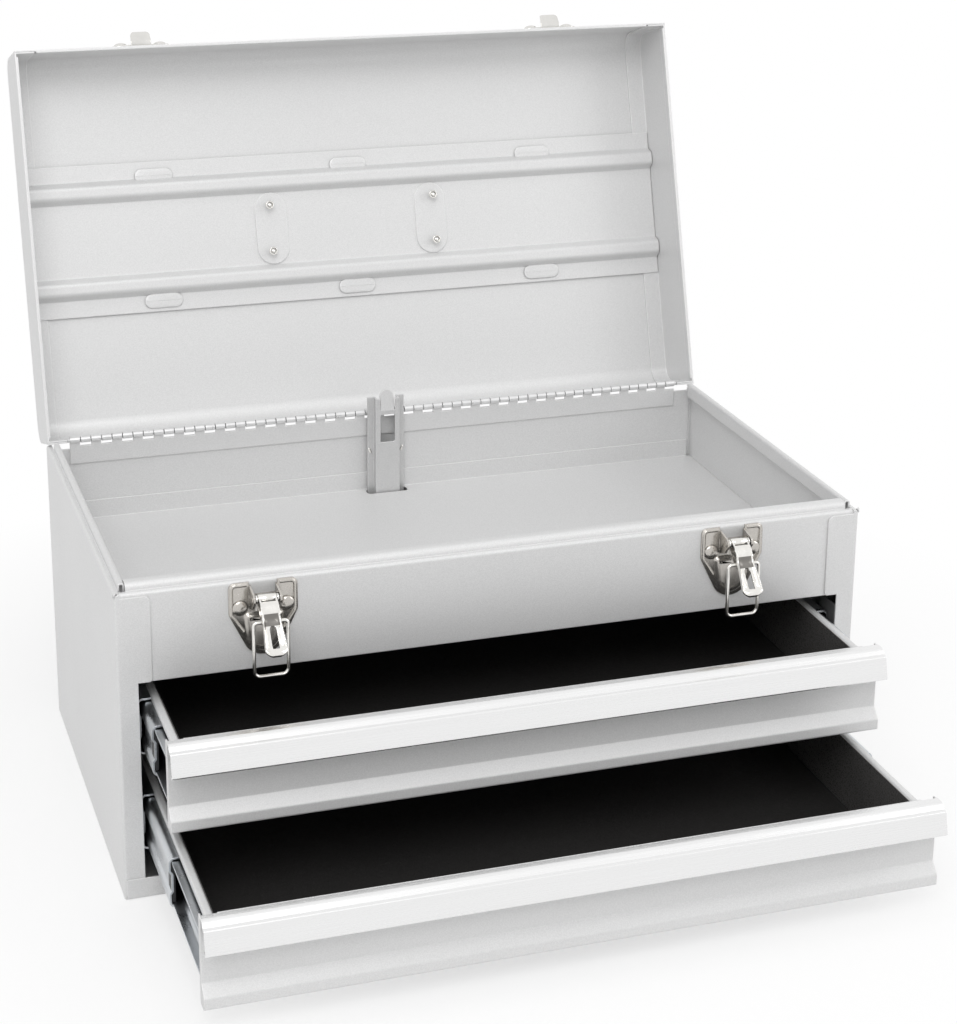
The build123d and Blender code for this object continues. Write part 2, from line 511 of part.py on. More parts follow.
# ---------------------------------------------------------------- drawers and slides, drawn shut
for level, (foot, place, out) in drawers.items():
    with BuildPart() as box:
        floor_z, rim_z = foot + BOX_FLOOR + SHEET / 2, foot + BOX_RIM_TOP - SHEET / 2
        wall_x, rim_x = BOX_HALF - SHEET / 2, BOX_HALF + BOX_RIM - SHEET / 2
        half_section = [(rim_x, rim_z - 2 * SHEET), (rim_x, rim_z), (wall_x, rim_z), (wall_x, floor_z)]
        with BuildSketch(facing(BOX_FRONT)):
            trace(fold_line([(-x, z) for x, z in half_section] + half_section[::-1],
                            radius=[BEND, 0, 0, 0, 0, BEND]), line_width=SHEET)
        extrude(amount=-BOX_DEPTH)
        for y, top in ((BOX_FRONT, BOX_RIM_TOP - SHEET), (BOX_REAR - SHEET, BOX_BACK)):
            with BuildSketch(facing(y)):
                with Locations((0, foot + (BOX_FLOOR + SHEET + top) / 2)):
                    Rectangle(2 * BOX_HALF - SHEET, top - BOX_FLOOR - SHEET)
                with Locations((0, foot + BOX_FLOOR + SHEET)):
                    Rectangle(2 * (BOX_HALF - BEND - SHEET), SHEET)
            extrude(amount=-SHEET)
    write(box, f"drawer_box_{level}", place)

    with BuildPart() as front:
        return_y = SLIDE_FRONT - CLEAR
        face = [(return_y, SHEET / 2), (DRAWER_FACE + SHEET / 2, SHEET / 2),
                (DRAWER_FACE + SHEET / 2, BAND_HEIGHT), (FLAT_FACE + SHEET / 2, BEVEL_TOP),
                (FLAT_FACE + SHEET / 2, BOX_RIM_TOP)]
        with BuildSketch(across(0)):
            trace(fold_line([(y, foot + z) for y, z in face], radius=1.2), line_width=SHEET)
        extrude(amount=PANEL_HALF, both=True)
        # folded ends
        with BuildSketch(across(0)):
            with BuildLine():
                Polyline((return_y, foot + SHEET / 2), (DRAWER_FACE + SHEET, foot + SHEET / 2),
                         (DRAWER_FACE + SHEET, foot + BAND_HEIGHT), (FLAT_FACE + SHEET / 2, foot + BEVEL_TOP),
                         (FLAT_FACE + SHEET / 2, foot + BOX_RIM_TOP), (return_y, foot + BOX_RIM_TOP), close=True)
            make_face()
        extrude(amount=PANEL_HALF, both=True)
        with BuildSketch(across(0)):
            with Locations(((BOX_FRONT + return_y) / 2 + SHEET, foot + SHEET + BOX_RIM_TOP / 2)):
                Rectangle(return_y - BOX_FRONT + 2 * SHEET, BOX_RIM_TOP)
            with BuildLine():
                Polyline((BOX_FRONT, foot + SHEET), (DRAWER_FACE + SHEET, foot + SHEET),
                         (DRAWER_FACE + SHEET, foot + BAND_HEIGHT), (BOX_FRONT, foot + BEVEL_TOP), close=True)
            make_face()
        extrude(amount=PANEL_HALF - SHEET, both=True, mode=Mode.SUBTRACT)
    write(front, f"drawer_front_{level}", place)

    with BuildPart() as pull:
        wall = 1.4
        leg_y, tip_y = FLAT_FACE - wall / 2, FLAT_FACE - PULL_DEPTH + wall / 2
        curl = [(leg_y, PULL_FOOT + 5), (leg_y, FRONT_HEIGHT - wall / 2),
                (leg_y - 6.8, FRONT_HEIGHT - 2.6), (tip_y, FRONT_HEIGHT - 9.2), (tip_y, PULL_FOOT + wall / 2),
                (tip_y + 3.2, PULL_FOOT + wall / 2)]
        with BuildSketch(across(0)):
            trace(fold_line([(y, foot + z) for y, z in curl], radius=[1.2, 1.2, 8.0, 1.2]), line_width=wall)
        extrude(amount=PANEL_HALF, both=True)
    write(pull, f"drawer_pull_{level}", place)

    with BuildPart() as mat:
        with BuildSketch(Plane.XY.offset(foot + BOX_FLOOR + SHEET)):
            with Locations((0, (BOX_FRONT + BOX_REAR) / 2)):
                Rectangle(2 * (BOX_HALF - 3 * SHEET), BOX_DEPTH - 6 * SHEET)
        extrude(amount=MAT)
    write(mat, f"drawer_mat_{level}", place)

    centre_z = foot + SLIDE_CENTRE
    step = SLIDE_WALL + 0.8         # one member inside the next
    outer = SLIDE_HEIGHT / 2 - SLIDE_WALL / 2
    lip_x = BOX_HALF + 2.6
    web_x = BAY_X - SLIDE_WALL / 2
    members = {
        "cabinet": (web_x, lip_x, outer, 0, SLIDE_LENGTH, Location()),
        "middle": (web_x - 2.6, lip_x, outer - step, 2, SLIDE_LENGTH - 36, Location((0, -out / 2, 0))),
        "drawer": (BOX_HALF + SLIDE_WALL / 2, web_x - 3.8, outer - 2 * step, 0, SLIDE_LENGTH - 4, place),
    }
    for member, (web, lip, half, start, length, member_place) in members.items():
        with BuildPart() as runner:
            with BuildSketch(facing(SLIDE_FRONT + start)):
                trace(fold_line([(lip, centre_z + half), (web, centre_z + half),
                                 (web, centre_z - half), (lip, centre_z - half)]), line_width=SLIDE_WALL)
            extrude(amount=-length)
        write(runner, f"slide_{member}_{level}_right", member_place)
        with BuildPart() as runner_left:
            mirror(runner.part, about=Plane.YZ)
        write(runner_left, f"slide_{member}_{level}_left", member_place)

# ---------------------------------------------------------------- lock bar, raised by the open lid
with BuildPart() as lock_bar:
    bar_top = BODY_HEIGHT + BAR_TOP_RISE
    flange_y, web_y = BAR_BACK - BAR_WALL / 2, BAR_FRONT + BAR_WALL / 2
    web_half = BAR_WEB / 2 - BAR_WALL / 2
    hat = [(BAR_WIDTH / 2, flange_y), (web_half, flange_y), (web_half, web_y)]
    with BuildSketch(Plane.XY.offset(BAR_FOOT)):
        trace(fold_line([(-x, y) for x, y in hat] + hat[::-1]), line_width=BAR_WALL)
    extrude(amount=bar_top - BAR_FOOT)
    tab_half, tab_foot = 4.85, bar_top - 8.5
    with BuildSketch(facing(BAR_FRONT - SHEET)):
        with Locations((0, tab_foot - 13.5)):
            RectangleRounded(10.6, 20.4, 1.5)
        with Locations((0, bar_top)):
            Rectangle(2 * tab_half + 1.2, 2 * (bar_top - tab_foot))
    extrude(amount=-3 * BAR_WALL, mode=Mode.SUBTRACT)
    # centre tab, leaning back
    lean = radians(16)
    tab_plane = Plane(origin=(0, BAR_FRONT, tab_foot), x_dir=(1, 0, 0), z_dir=(0, -cos(lean), sin(lean)))
    with BuildSketch(tab_plane):
        with Locations((0, 4.5)):
            Rectangle(2 * tab_half, 10.5)
        with Locations((0, 9.75)):
            Circle(tab_half)
    extrude(amount=-BAR_WALL)
    # a hook over the back wall of each drawer
    for foot, _, _ in drawers.values():
        lip_z = foot + BOX_BACK + 3 * CLEAR
        strap_z = lip_z + BAR_TRAVEL + BAR_WALL / 2
        hook_y = BOX_REAR - SHEET - 3 * CLEAR - BAR_WALL / 2
        with BuildSketch(across(0)):
            trace(fold_line([(web_y, strap_z), (hook_y, strap_z), (hook_y, lip_z)]), line_width=BAR_WALL)
        extrude(amount=6.0, both=True)
write(lock_bar, "lock_bar")

with BuildPart() as lock_guide:
    guide_x, guide_y = BAR_WIDTH / 2 + CLEAR + SHEET / 2, BAR_FRONT - CLEAR - SHEET / 2
    strap = [(2 * guide_x, INNER_BACK - SHEET / 2), (guide_x, INNER_BACK - SHEET / 2), (guide_x, guide_y)]
    with BuildSketch(Plane.XY.offset(BAR_FOOT + 50)):
        trace(fold_line([(-x, y) for x, y in strap] + strap[::-1]), line_width=SHEET)
    extrude(amount=14.0)
write(lock_guide, "lock_guide")

# ---------------------------------------------------------------- draw latches, drawn at X 0
with BuildPart() as latch_plate:
    plate_top = BODY_HEIGHT - LATCH_TOP_DROP
    plate_foot = plate_top - LATCH_HEIGHT
    with BuildSketch(facing(HEADER_Y)):
        with Locations((0, plate_top - 11.5)):
            RectangleRounded(LATCH_WIDTH, 23, 4.0)
        with Locations((0, plate_foot + LATCH_SHIELD)):
            Circle(LATCH_SHIELD)
        make_hull()
        with Locations((0, plate_top)):
            Rectangle(17, 16, mode=Mode.SUBTRACT)
    extrude(amount=LATCH_PLATE)
    with BuildSketch(facing(HEADER_Y + SHEET - LATCH_PLATE)):
        with Locations((0, plate_foot + LATCH_SHIELD)):
            Circle(LATCH_SHIELD - 3)
    extrude(amount=2 * LATCH_PLATE, taper=35)
    # lugs that carry the lever's pin
    lug_x = LEVER_WIDTH / 2 + CLEAR
    for x in (-lug_x - LATCH_PLATE, lug_x):
        with BuildSketch(across(x)):
            with Locations((LATCH_PIVOT_Y, LATCH_PIVOT_Z)):
                Circle(4)
            with Locations((HEADER_Y - LATCH_PLATE / 2, LATCH_PIVOT_Z - 3.5)):
                Rectangle(LATCH_PLATE, 11)
            make_hull()
        extrude(amount=LATCH_PLATE)
    # the lever's pin, riveted in the lugs
    with BuildSketch(across(0)):
        with Locations((LATCH_PIVOT_Y, LATCH_PIVOT_Z)):
            RegularPolygon(LATCH_PIN, side_count=8)
    extrude(amount=lug_x + LATCH_PLATE / 2, both=True)

with BuildPart() as lever:
    web_in = LATCH_PIVOT_Y - 3.2
    bail_z = LATCH_PIVOT_Z - BAIL_ARM
    tip_z = LATCH_PIVOT_Z - LEVER_LENGTH
    with BuildSketch(facing(web_in)):
        with Locations((0, LATCH_PIVOT_Z - 9)):
            Rectangle(LEVER_WIDTH, 16)
        with BuildLine():
            Polyline((-LEVER_WIDTH / 2, LATCH_PIVOT_Z - 16), (LEVER_WIDTH / 2, LATCH_PIVOT_Z - 16),
                     (7, tip_z + 8), (-7, tip_z + 8), close=True)
        make_face()
        with Locations((0, tip_z + 7)):
            RectangleRounded(14, 14, 6.5)
        with Locations((0, tip_z + 11)):
            Rectangle(5, 14, mode=Mode.SUBTRACT)
    extrude(amount=LATCH_PLATE)
    for x in (-LEVER_WIDTH / 2, LEVER_WIDTH / 2 - SHEET):
        with BuildSketch(across(x)):
            with Locations((LATCH_PIVOT_Y, LATCH_PIVOT_Z), (LATCH_PIVOT_Y, bail_z)):
                RegularPolygon(4.2, side_count=16)
            with Locations((web_in - LATCH_PLATE / 2, bail_z - 9)):
                Rectangle(LATCH_PLATE, 4)
            make_hull()
            with Locations((LATCH_PIVOT_Y, LATCH_PIVOT_Z)):
                Circle(LATCH_PIN + PIN_FIT, mode=Mode.SUBTRACT)
            with Locations((LATCH_PIVOT_Y, bail_z)):
                Circle(WIRE / 2 + PIN_FIT, mode=Mode.SUBTRACT)
        extrude(amount=SHEET)

with BuildPart() as latch_bail:
    arm_x, in_x = (BAIL_WIDTH - WIRE) / 2, LEVER_WIDTH / 2 - SHEET
    with BuildLine():
        bent_rod([(-in_x, LATCH_PIVOT_Y, bail_z), (-arm_x, LATCH_PIVOT_Y, bail_z),
                  (-arm_x, LATCH_PIVOT_Y, bail_z - BAIL_LENGTH),
                  (arm_x, LATCH_PIVOT_Y, bail_z - BAIL_LENGTH),
                  (arm_x, LATCH_PIVOT_Y, bail_z), (in_x, LATCH_PIVOT_Y, bail_z)], cut=1.8)
    with BuildSketch(across(-in_x)):
        with Locations((LATCH_PIVOT_Y, bail_z)):
            RegularPolygon(WIRE / 2, side_count=8)
    sweep(transition=Transition.RIGHT)

lever_place = turned(LATCH_PIVOT_Y, LATCH_PIVOT_Z, -LEVER_OPEN)
bail_place = lever_place * turned(LATCH_PIVOT_Y, bail_z, LEVER_OPEN)
for side, sign in sides.items():
    across_x = Location((sign * LATCH_SPACING / 2, 0, 0))
    write(latch_plate, f"latch_plate_{side}", across_x)
    write(lever, f"latch_lever_{side}", across_x * lever_place)
    write(latch_bail, f"latch_bail_{side}", across_x * bail_place)
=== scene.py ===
"""Finishes, small hardware and a plain studio for a portable steel tool chest.

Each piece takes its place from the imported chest, in metres, and moves with the part it is fixed to.
Lid pieces are drawn with the lid shut and carried open, as in the chest's own source.
"""

import json
from math import atan2, cos, pi, radians, sin

import bmesh
import bpy
from mathutils import Matrix, Vector
from mathutils.geometry import convex_hull_2d


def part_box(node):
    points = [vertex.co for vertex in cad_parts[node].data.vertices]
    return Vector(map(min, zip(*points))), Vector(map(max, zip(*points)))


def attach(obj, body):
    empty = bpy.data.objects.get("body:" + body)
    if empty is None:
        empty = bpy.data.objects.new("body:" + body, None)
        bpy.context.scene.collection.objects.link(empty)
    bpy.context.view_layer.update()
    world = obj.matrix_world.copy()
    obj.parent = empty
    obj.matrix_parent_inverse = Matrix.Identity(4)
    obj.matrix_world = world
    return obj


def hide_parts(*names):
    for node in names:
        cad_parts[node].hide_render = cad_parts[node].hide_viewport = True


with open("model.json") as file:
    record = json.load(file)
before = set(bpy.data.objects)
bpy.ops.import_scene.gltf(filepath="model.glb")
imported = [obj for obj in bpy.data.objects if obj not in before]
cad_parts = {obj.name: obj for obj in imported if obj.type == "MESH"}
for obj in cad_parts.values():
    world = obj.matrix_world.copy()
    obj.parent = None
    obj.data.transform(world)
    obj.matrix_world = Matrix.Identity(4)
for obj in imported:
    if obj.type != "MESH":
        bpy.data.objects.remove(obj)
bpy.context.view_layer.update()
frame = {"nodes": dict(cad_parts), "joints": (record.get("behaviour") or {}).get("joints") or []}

bl_info = {
    "name": "Steel Tool Chest Looks",
    "version": (1, 0, 0),
    "blender": (4, 5, 0),
    "location": "3D View > Sidebar > Tool Chest",
    "description": "Finishes, hardware details and a studio for a two-drawer steel tool chest",
    "category": "Object",
}

MM = 0.001
SEAT = 0.02                             # how deep a plate sits in its face, in millimetres
SIDES = {"left": -1, "right": 1}
WAYS = (-1, 1)
LEVELS = ("upper", "lower")
JOINTS = {joint["name"]: joint for joint in frame["joints"]}
HINGE = Vector(JOINTS["lid_hinge"]["pos_m"])
LID_OPEN = radians(JOINTS["lid_hinge"]["range_deg"][1])
LID_PLACE = (Matrix.Translation(HINGE) @ Matrix.Rotation(-LID_OPEN, 4, "X")
             @ Matrix.Translation(-HINGE))


# ---- places
def corners(node):
    """A part's lowest and highest corners, in millimetres."""
    low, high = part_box(node)
    return low / MM, high / MM


def shut_corners(node):
    """A lid part's corners when the lid is shut, in millimetres."""
    points = [LID_PLACE.inverted() @ v.co / MM for v in frame["nodes"][node].data.vertices]
    return (Vector([min(p[i] for p in points) for i in range(3)]),
            Vector([max(p[i] for p in points) for i in range(3)]))


def joint_at(joint):
    """Where a joint's axis is, in millimetres."""
    return Vector(JOINTS[joint]["pos_m"]) / MM


def facing_front(x, y, z):
    """A frame on a face that looks to the front: local Z points out of it, local Y up."""
    return Matrix.Translation((x, y, z)) @ Matrix.Rotation(pi / 2, 4, "X")


def along_x(x, y, z):
    """A frame whose local Z runs along the chest."""
    return Matrix.Translation((x, y, z)) @ Matrix.Rotation(pi / 2, 4, "Y")


# ---- making pieces
def add_piece(name, part, finish, body, place=Matrix(), crease=40, soften=0.0, replaces=()):
    """A piece, drawn in millimetres, that rides on a body and is smooth up to the crease angle."""
    mesh = bpy.data.meshes.new(name)
    mesh.from_pydata([tuple(v) for v in part[0]], [], part[1])
    shape = bmesh.new()
    shape.from_mesh(mesh)
    shape.transform(place @ Matrix.Scale(MM, 4))
    bmesh.ops.recalc_face_normals(shape, faces=shape.faces)
    shape.to_mesh(mesh)
    shape.free()
    mesh.shade_smooth()
    mesh.set_sharp_from_angle(angle=radians(crease))
    mesh.materials.append(finish_of(finish))
    piece = bpy.data.objects.new(name, mesh)
    bpy.context.scene.collection.objects.link(piece)
    if soften:
        edges = piece.modifiers.new("Softened edges", "BEVEL")
        edges.width, edges.segments, edges.limit_method = soften * MM, 2, "ANGLE"
        edges.angle_limit, edges.harden_normals = radians(crease), True
    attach(piece, body)
    if replaces:
        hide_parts(*replaces)
    return piece


def merge(parts):
    """Several (verts, faces) as one."""
    verts, faces = [], []
    for part_verts, part_faces in parts:
        first = len(verts)
        verts += part_verts
        faces += [tuple(i + first for i in face) for face in part_faces]
    return verts, faces


def moved(part, place):
    """(verts, faces) carried by a matrix, or to a point."""
    if not isinstance(place, Matrix):
        place = Matrix.Translation(place)
    return [place @ Vector(v) for v in part[0]], part[1]


def circle(x, y, radius, steps=32):
    """Points round a circle."""
    turns = [2 * pi * i / steps for i in range(steps)]
    return [(x + radius * cos(turn), y + radius * sin(turn)) for turn in turns]


def rings(loops):
    """Skin a row of equal loops, with flat ends."""
    n = len(loops[0])
    verts = [v for loop in loops for v in loop]
    faces = [tuple(reversed(range(n))), tuple(range(len(verts) - n, len(verts)))]
    for row in range(len(loops) - 1):
        a, b = row * n, (row + 1) * n
        faces += [(a + i, a + (i + 1) % n, b + (i + 1) % n, b + i) for i in range(n)]
    return verts, faces


def turned_part(profile, steps=32):
    """A lathed part about local Z from (radius, height) pairs."""
    return rings([[(x, y, height) for x, y in circle(0, 0, radius, steps)]
                  for radius, height in profile])


def dome(radius, height):
    """A domed rivet head, its shank just under the face it stands on."""
    rim = 0.12 * height
    turns = [a * pi / 16 for a in range(1, 8)]
    curve = [(radius * cos(turn), rim + (height - rim) * sin(turn)) for turn in turns]
    return turned_part([(radius, -0.5), (radius, rim)] + curve + [(0.02 * radius, height)])


def slab(outline, low, high):
    """A flat shape in local Y and Z, from one X to another."""
    return rings([[(x, y, z) for y, z in outline] for x in (low, high)])


def run_back(outline, low, high):
    """A flat shape in local X and Z, from one Y to another."""
    return rings([[(x, y, z) for x, z in outline] for y in (low, high)])


def block(low, high):
    """A box between two corners."""
    (x, y, z), (far_x, far_y, far_z) = low, high
    return slab([(y, z), (far_y, z), (far_y, far_z), (y, far_z)], x, far_x)


def arc_route(points, radii, steps=8):
    """A line with rounded corners, by a radius for each; flat points lie at height zero."""
    points = [Vector((*p, 0)[:3]) for p in points]
    line = [points[0]]
    for before, at, after, corner in zip(points, points[1:], points[2:], radii):
        a, b = (before - at).normalized(), (after - at).normalized()
        half = a.angle(b) / 2
        room = 0.49 * min((before - at).length, (after - at).length)
        reach = min(corner * cos(half) / sin(half), room)
        radius = reach * sin(half) / cos(half)
        centre = at + (a + b).normalized() * (radius / sin(half))
        start, end = at + a * reach - centre, at + b * reach - centre
        sweep = start.angle(end)
        for i in range(steps + 1):
            t = i / steps
            line.append(centre + (start * sin((1 - t) * sweep) + end * sin(t * sweep)) / sin(sweep))
    return line + [points[-1]]


def heading(line, i):
    """The direction of a line at one of its points."""
    return (Vector(line[min(i + 1, len(line) - 1)]) - Vector(line[max(i - 1, 0)])).normalized()


def wire(points, radius, sides=16):
    """A round wire along a line, its ends eased."""
    line = [Vector(p) for p in points]
    loops, across = [], heading(line, 0).orthogonal()
    for i, point in enumerate(line):
        ahead = heading(line, i)
        across = (across - ahead * across.dot(ahead)).normalized()
        side = ahead.cross(across)
        loops.append([point + across * x + side * y for x, y in circle(0, 0, radius, sides)])
    ends = []
    for at, before, loop in ((line[0], line[1], loops[0]), (line[-1], line[-2], loops[-1])):
        cap = (at - before).normalized() * radius * 0.3
        ends.append([at + (v - at) * 0.7 + cap for v in loop])
    return rings([ends[0]] + loops + [ends[1]])


def bead(line, width, height):
    """A round-topped bead pressed along a flat line, standing up local Z."""
    half, sunk = width / 2, -height / 3
    turns = [a * pi / 8 for a in range(9)]
    section = [(half * cos(turn), height * sin(turn)) for turn in turns]
    section += [(-half, sunk), (half, sunk)]
    loops = []
    for i, point in enumerate(line):
        ahead = heading(line, i)
        side = Vector((-ahead.y, ahead.x, 0))
        loops.append([point + side * out + Vector((0, 0, up)) for out, up in section])
    return rings(loops)


def inset(outline, amount):
    """A flat outline moved in by an amount, corners mitred."""
    narrowest = 0.35
    moved_in = []
    for i, at in enumerate(outline):
        before, after = outline[i - 1], outline[(i + 1) % len(outline)]
        a = Vector((at[0] - before[0], at[1] - before[1])).normalized()
        b = Vector((after[0] - at[0], after[1] - at[1])).normalized()
        normal = Vector((-a.y - b.y, a.x + b.x)).normalized()
        stretch = max(narrowest, normal.dot(Vector((-a.y, a.x))))
        moved_in.append((at[0] + normal.x * amount / stretch, at[1] + normal.y * amount / stretch))
    return moved_in


def stamped(outline, steps):
    """A pressed plate over a flat outline: each step is (how far in, how high)."""
    return rings([[(x, y, height) for x, y in inset(outline, amount)] for amount, height in steps])


def pressed(rows, thickness, open_cells):
    """A pressed sheet, thick along Y, from rows of points on its face; some cells may be open."""
    columns = len(rows[0])
    face = [Vector(p) for row in rows for p in row]
    both = face + [p + Vector((0, thickness, 0)) for p in face]
    total, faces, sides = len(face), [], {}
    for r in range(len(rows) - 1):
        for c in range(columns - 1):
            if (r, c) in open_cells:
                continue
            a = r * columns + c
            quad = (a, a + columns, a + columns + 1, a + 1)
            faces += [quad, tuple(total + i for i in reversed(quad))]
            sides.update(dict.fromkeys(zip(quad, quad[1:] + quad[:1])))
    faces += [(j, i, total + i, total + j) for i, j in sides if (j, i) not in sides]
    used = sorted({i for f in faces for i in f})
    renumbered = {old: new for new, old in enumerate(used)}
    return [both[i] for i in used], [tuple(renumbered[i] for i in f) for f in faces]


def around(points):
    """The outline that wraps some points, as a belt would, turning left."""
    points = [Vector(p) for p in points]
    outline = [tuple(points[i]) for i in convex_hull_2d(points)]
    area = sum(a[0] * b[1] - b[0] * a[1] for a, b in zip(outline, outline[1:] + outline[:1]))
    return outline if area > 0 else outline[::-1]


def rounded_box(width, height, radius):
    """The outline of a rectangle with rounded corners."""
    x, y = width / 2 - radius, height / 2 - radius
    return around([p for sx in WAYS for sy in WAYS for p in circle(sx * x, sy * y, radius, 24)])


def sheet_outline(line, thickness):
    """The outline of a folded sheet that follows a line of flat points."""
    left, right = [], []
    for i, at in enumerate(line):
        ahead = heading(line, i) * thickness / 2
        left.append((at[0] - ahead.y, at[1] + ahead.x))
        right.append((at[0] + ahead.y, at[1] - ahead.x))
    return left + right[::-1]


def strip(line, widths, thickness):
    """A bent strip: it follows (y, z) points and is as wide along X as each width."""
    loops = []
    for i, (y, z) in enumerate(line):
        ahead, half = heading(line, i), widths[i] / 2
        over_y, over_z = -ahead.y * thickness / 2, ahead.x * thickness / 2
        loops.append([(x, y + way * over_y, z + way * over_z)
                      for x, way in ((-half, 1), (half, 1), (half, -1), (-half, -1))])
    return rings(loops)


# ---- shared shader groups
NODE_STEP, ROW_NODES = 220, 15          # a shader node's room in its row, and the row's length


def feed(tree, node, *row, **named):
    """Give a node's sockets, in a row or by name, other nodes' outputs or values of their own."""
    sockets = list(zip(node.inputs, row))
    sockets += [(node.inputs[key.replace("_", " ")], value) for key, value in named.items()]
    for socket, value in sockets:
        if isinstance(value, bpy.types.NodeSocket):
            tree.links.new(value, socket)
        else:
            socket.default_value = value
    return node


def add_node(tree, kind, **values):
    """The next shader node in a row, with its settings, and its sockets fed by name."""
    node = tree.nodes.new(kind)
    node.location.x = (len(tree.nodes) - ROW_NODES) * NODE_STEP
    for key, value in values.items():
        if hasattr(node, key):
            setattr(node, key, value)
        else:
            feed(tree, node, **{key: value})
    return node


def math_node(tree, operation, first, second):
    """The output of a Math node over two outputs or numbers."""
    node = add_node(tree, "ShaderNodeMath", operation=operation)
    return feed(tree, node, first, second).outputs[0]


def new_group(name, inputs, outputs):
    """An empty shader group: its input numbers by name, and its output kinds by name."""
    group = bpy.data.node_groups.new(name, "ShaderNodeTree")
    for socket, value in inputs.items():
        made = group.interface.new_socket(socket, in_out="INPUT", socket_type="NodeSocketFloat")
        made.default_value = value
    for socket, kind in outputs.items():
        group.interface.new_socket(socket, in_out="OUTPUT", socket_type=f"NodeSocket{kind}")
    enter, leave = (group.nodes.new(f"NodeGroup{end}") for end in ("Input", "Output"))
    enter.location.x = -ROW_NODES * NODE_STEP
    return group, enter, leave


def own_place(group):
    """Where a point is on its own object."""
    return add_node(group, "ShaderNodeTexCoord").outputs["Object"]


def per_metre(group, enter):
    """How many of a group's Size go into a metre."""
    return math_node(group, "DIVIDE", 1.0, enter.outputs["Size"])


def make_soft_edges():
    """Rounds the look of folded edges, and gives a mask of where they are."""
    group, enter, leave = new_group("Soft Edges", {"Radius": 0.0008},
                                    {"Normal": "Vector", "Edge": "Float"})
    gain = 8.0
    bevel = add_node(group, "ShaderNodeBevel", samples=6, Radius=enter.outputs["Radius"])
    facing = add_node(group, "ShaderNodeNewGeometry")
    turn = add_node(group, "ShaderNodeVectorMath", operation="DOT_PRODUCT")
    feed(group, turn, bevel.outputs[0], facing.outputs["Normal"])
    bent = math_node(group, "SUBTRACT", 1.0, turn.outputs["Value"])
    edge = math_node(group, "MULTIPLY", bent, gain)
    edge.node.use_clamp = True
    feed(group, leave, Normal=bevel.outputs[0], Edge=edge)
    return group


def make_flake():
    """Fine metallic flake: a speckle value, and a height for the paint's faint texture."""
    group, enter, leave = new_group("Metallic Flake", {"Size": 0.0004},
                                    {"Speckle": "Float", "Height": "Float"})
    coarser = 0.35
    where, scale = own_place(group), per_metre(group, enter)
    cells = add_node(group, "ShaderNodeTexVoronoi", Vector=where, Scale=scale)
    tone = add_node(group, "ShaderNodeSeparateColor")
    feed(group, tone, cells.outputs["Color"])
    peel = add_node(group, "ShaderNodeTexNoise", Detail=2.0, Vector=where,
                    Scale=math_node(group, "MULTIPLY", scale, coarser))
    feed(group, leave, Speckle=tone.outputs[0], Height=peel.outputs[0])
    return group


def make_handling():
    """Faint smears from hands and cloths, as a value about one half."""
    group, enter, leave = new_group("Handling Marks", {"Size": 0.08}, {"Smear": "Float"})
    cloud = add_node(group, "ShaderNodeTexNoise", Detail=5.0, Distortion=0.6,
                     Vector=own_place(group), Scale=per_metre(group, enter))
    feed(group, leave, Smear=cloud.outputs[0])
    return group


def make_long_grain():
    """Drawn or rolled metal: fine lines along X."""
    group, enter, leave = new_group("Long Grain", {"Fineness": 2500.0}, {"Grain": "Float"})
    along = 0.006
    stretch = add_node(group, "ShaderNodeMapping", Vector=own_place(group), Scale=(along, 1.0, 1.0))
    lines = add_node(group, "ShaderNodeTexNoise", Detail=3.0,
                     Vector=stretch.outputs[0], Scale=enter.outputs["Fineness"])
    feed(group, leave, Grain=lines.outputs[0])
    return group


def make_recess():
    """A mask of how open a place is: low in corners and under folds."""
    group, enter, leave = new_group("Recess Shade", {"Reach": 0.006}, {"Open": "Float"})
    reach = add_node(group, "ShaderNodeAmbientOcclusion", samples=8,
                     Distance=enter.outputs["Reach"])
    feed(group, leave, Open=reach.outputs["AO"])
    return group


GROUP_MAKERS = {"Recess Shade": make_recess, "Soft Edges": make_soft_edges,
                "Metallic Flake": make_flake, "Handling Marks": make_handling,
                "Long Grain": make_long_grain}


def place_group(tree, name, **values):
    """The outputs of a shared group in a material; it is made the first time it is asked for."""
    group = bpy.data.node_groups.get(name) or GROUP_MAKERS[name]()
    return add_node(tree, "ShaderNodeGroup", node_tree=group, **values).outputs


def between(tree, value, low, high, source=(0.0, 1.0)):
    """A value carried from one range to another."""
    node = add_node(tree, "ShaderNodeMapRange", Value=value, From_Min=source[0],
                    From_Max=source[1], To_Min=low, To_Max=high)
    return node.outputs["Result"]


def tones(tree, value, dark, light):
    """A colour between two tones, either of them a colour or another node's colour."""
    node = add_node(tree, "ShaderNodeMix", data_type="RGBA")
    a, b = [(*tone, 1) if isinstance(tone, tuple) else tone for tone in (dark, light)]
    return feed(tree, node, Factor=value, A=a, B=b).outputs["Result"]


def shade(colour, amount):
    """A colour made lighter or darker."""
    return tuple(max(0.0, min(1.0, c * amount)) for c in colour)


# ---- finishes
NOISE_SPAN = (0.3, 0.7)                 # where nearly all of a noise's values lie
FINISHES = {}


def new_finish(name, metallic, specular=0.5):
    """A material with its shader ready."""
    finish = bpy.data.materials.new(name)
    finish.use_nodes = True
    tree = finish.node_tree
    shader = tree.nodes["Principled BSDF"]
    return finish, tree, feed(tree, shader, Metallic=metallic, Specular_IOR_Level=specular)


def surface(tree, shader, height, strength, distance, radius):
    """Relief over softened edges; gives the mask of those edges."""
    edges = place_group(tree, "Soft Edges", Radius=radius)
    bump = add_node(tree, "ShaderNodeBump", Strength=strength, Distance=distance,
                    Normal=edges["Normal"], Height=height)
    feed(tree, shader, Normal=bump.outputs[0])
    return edges["Edge"]


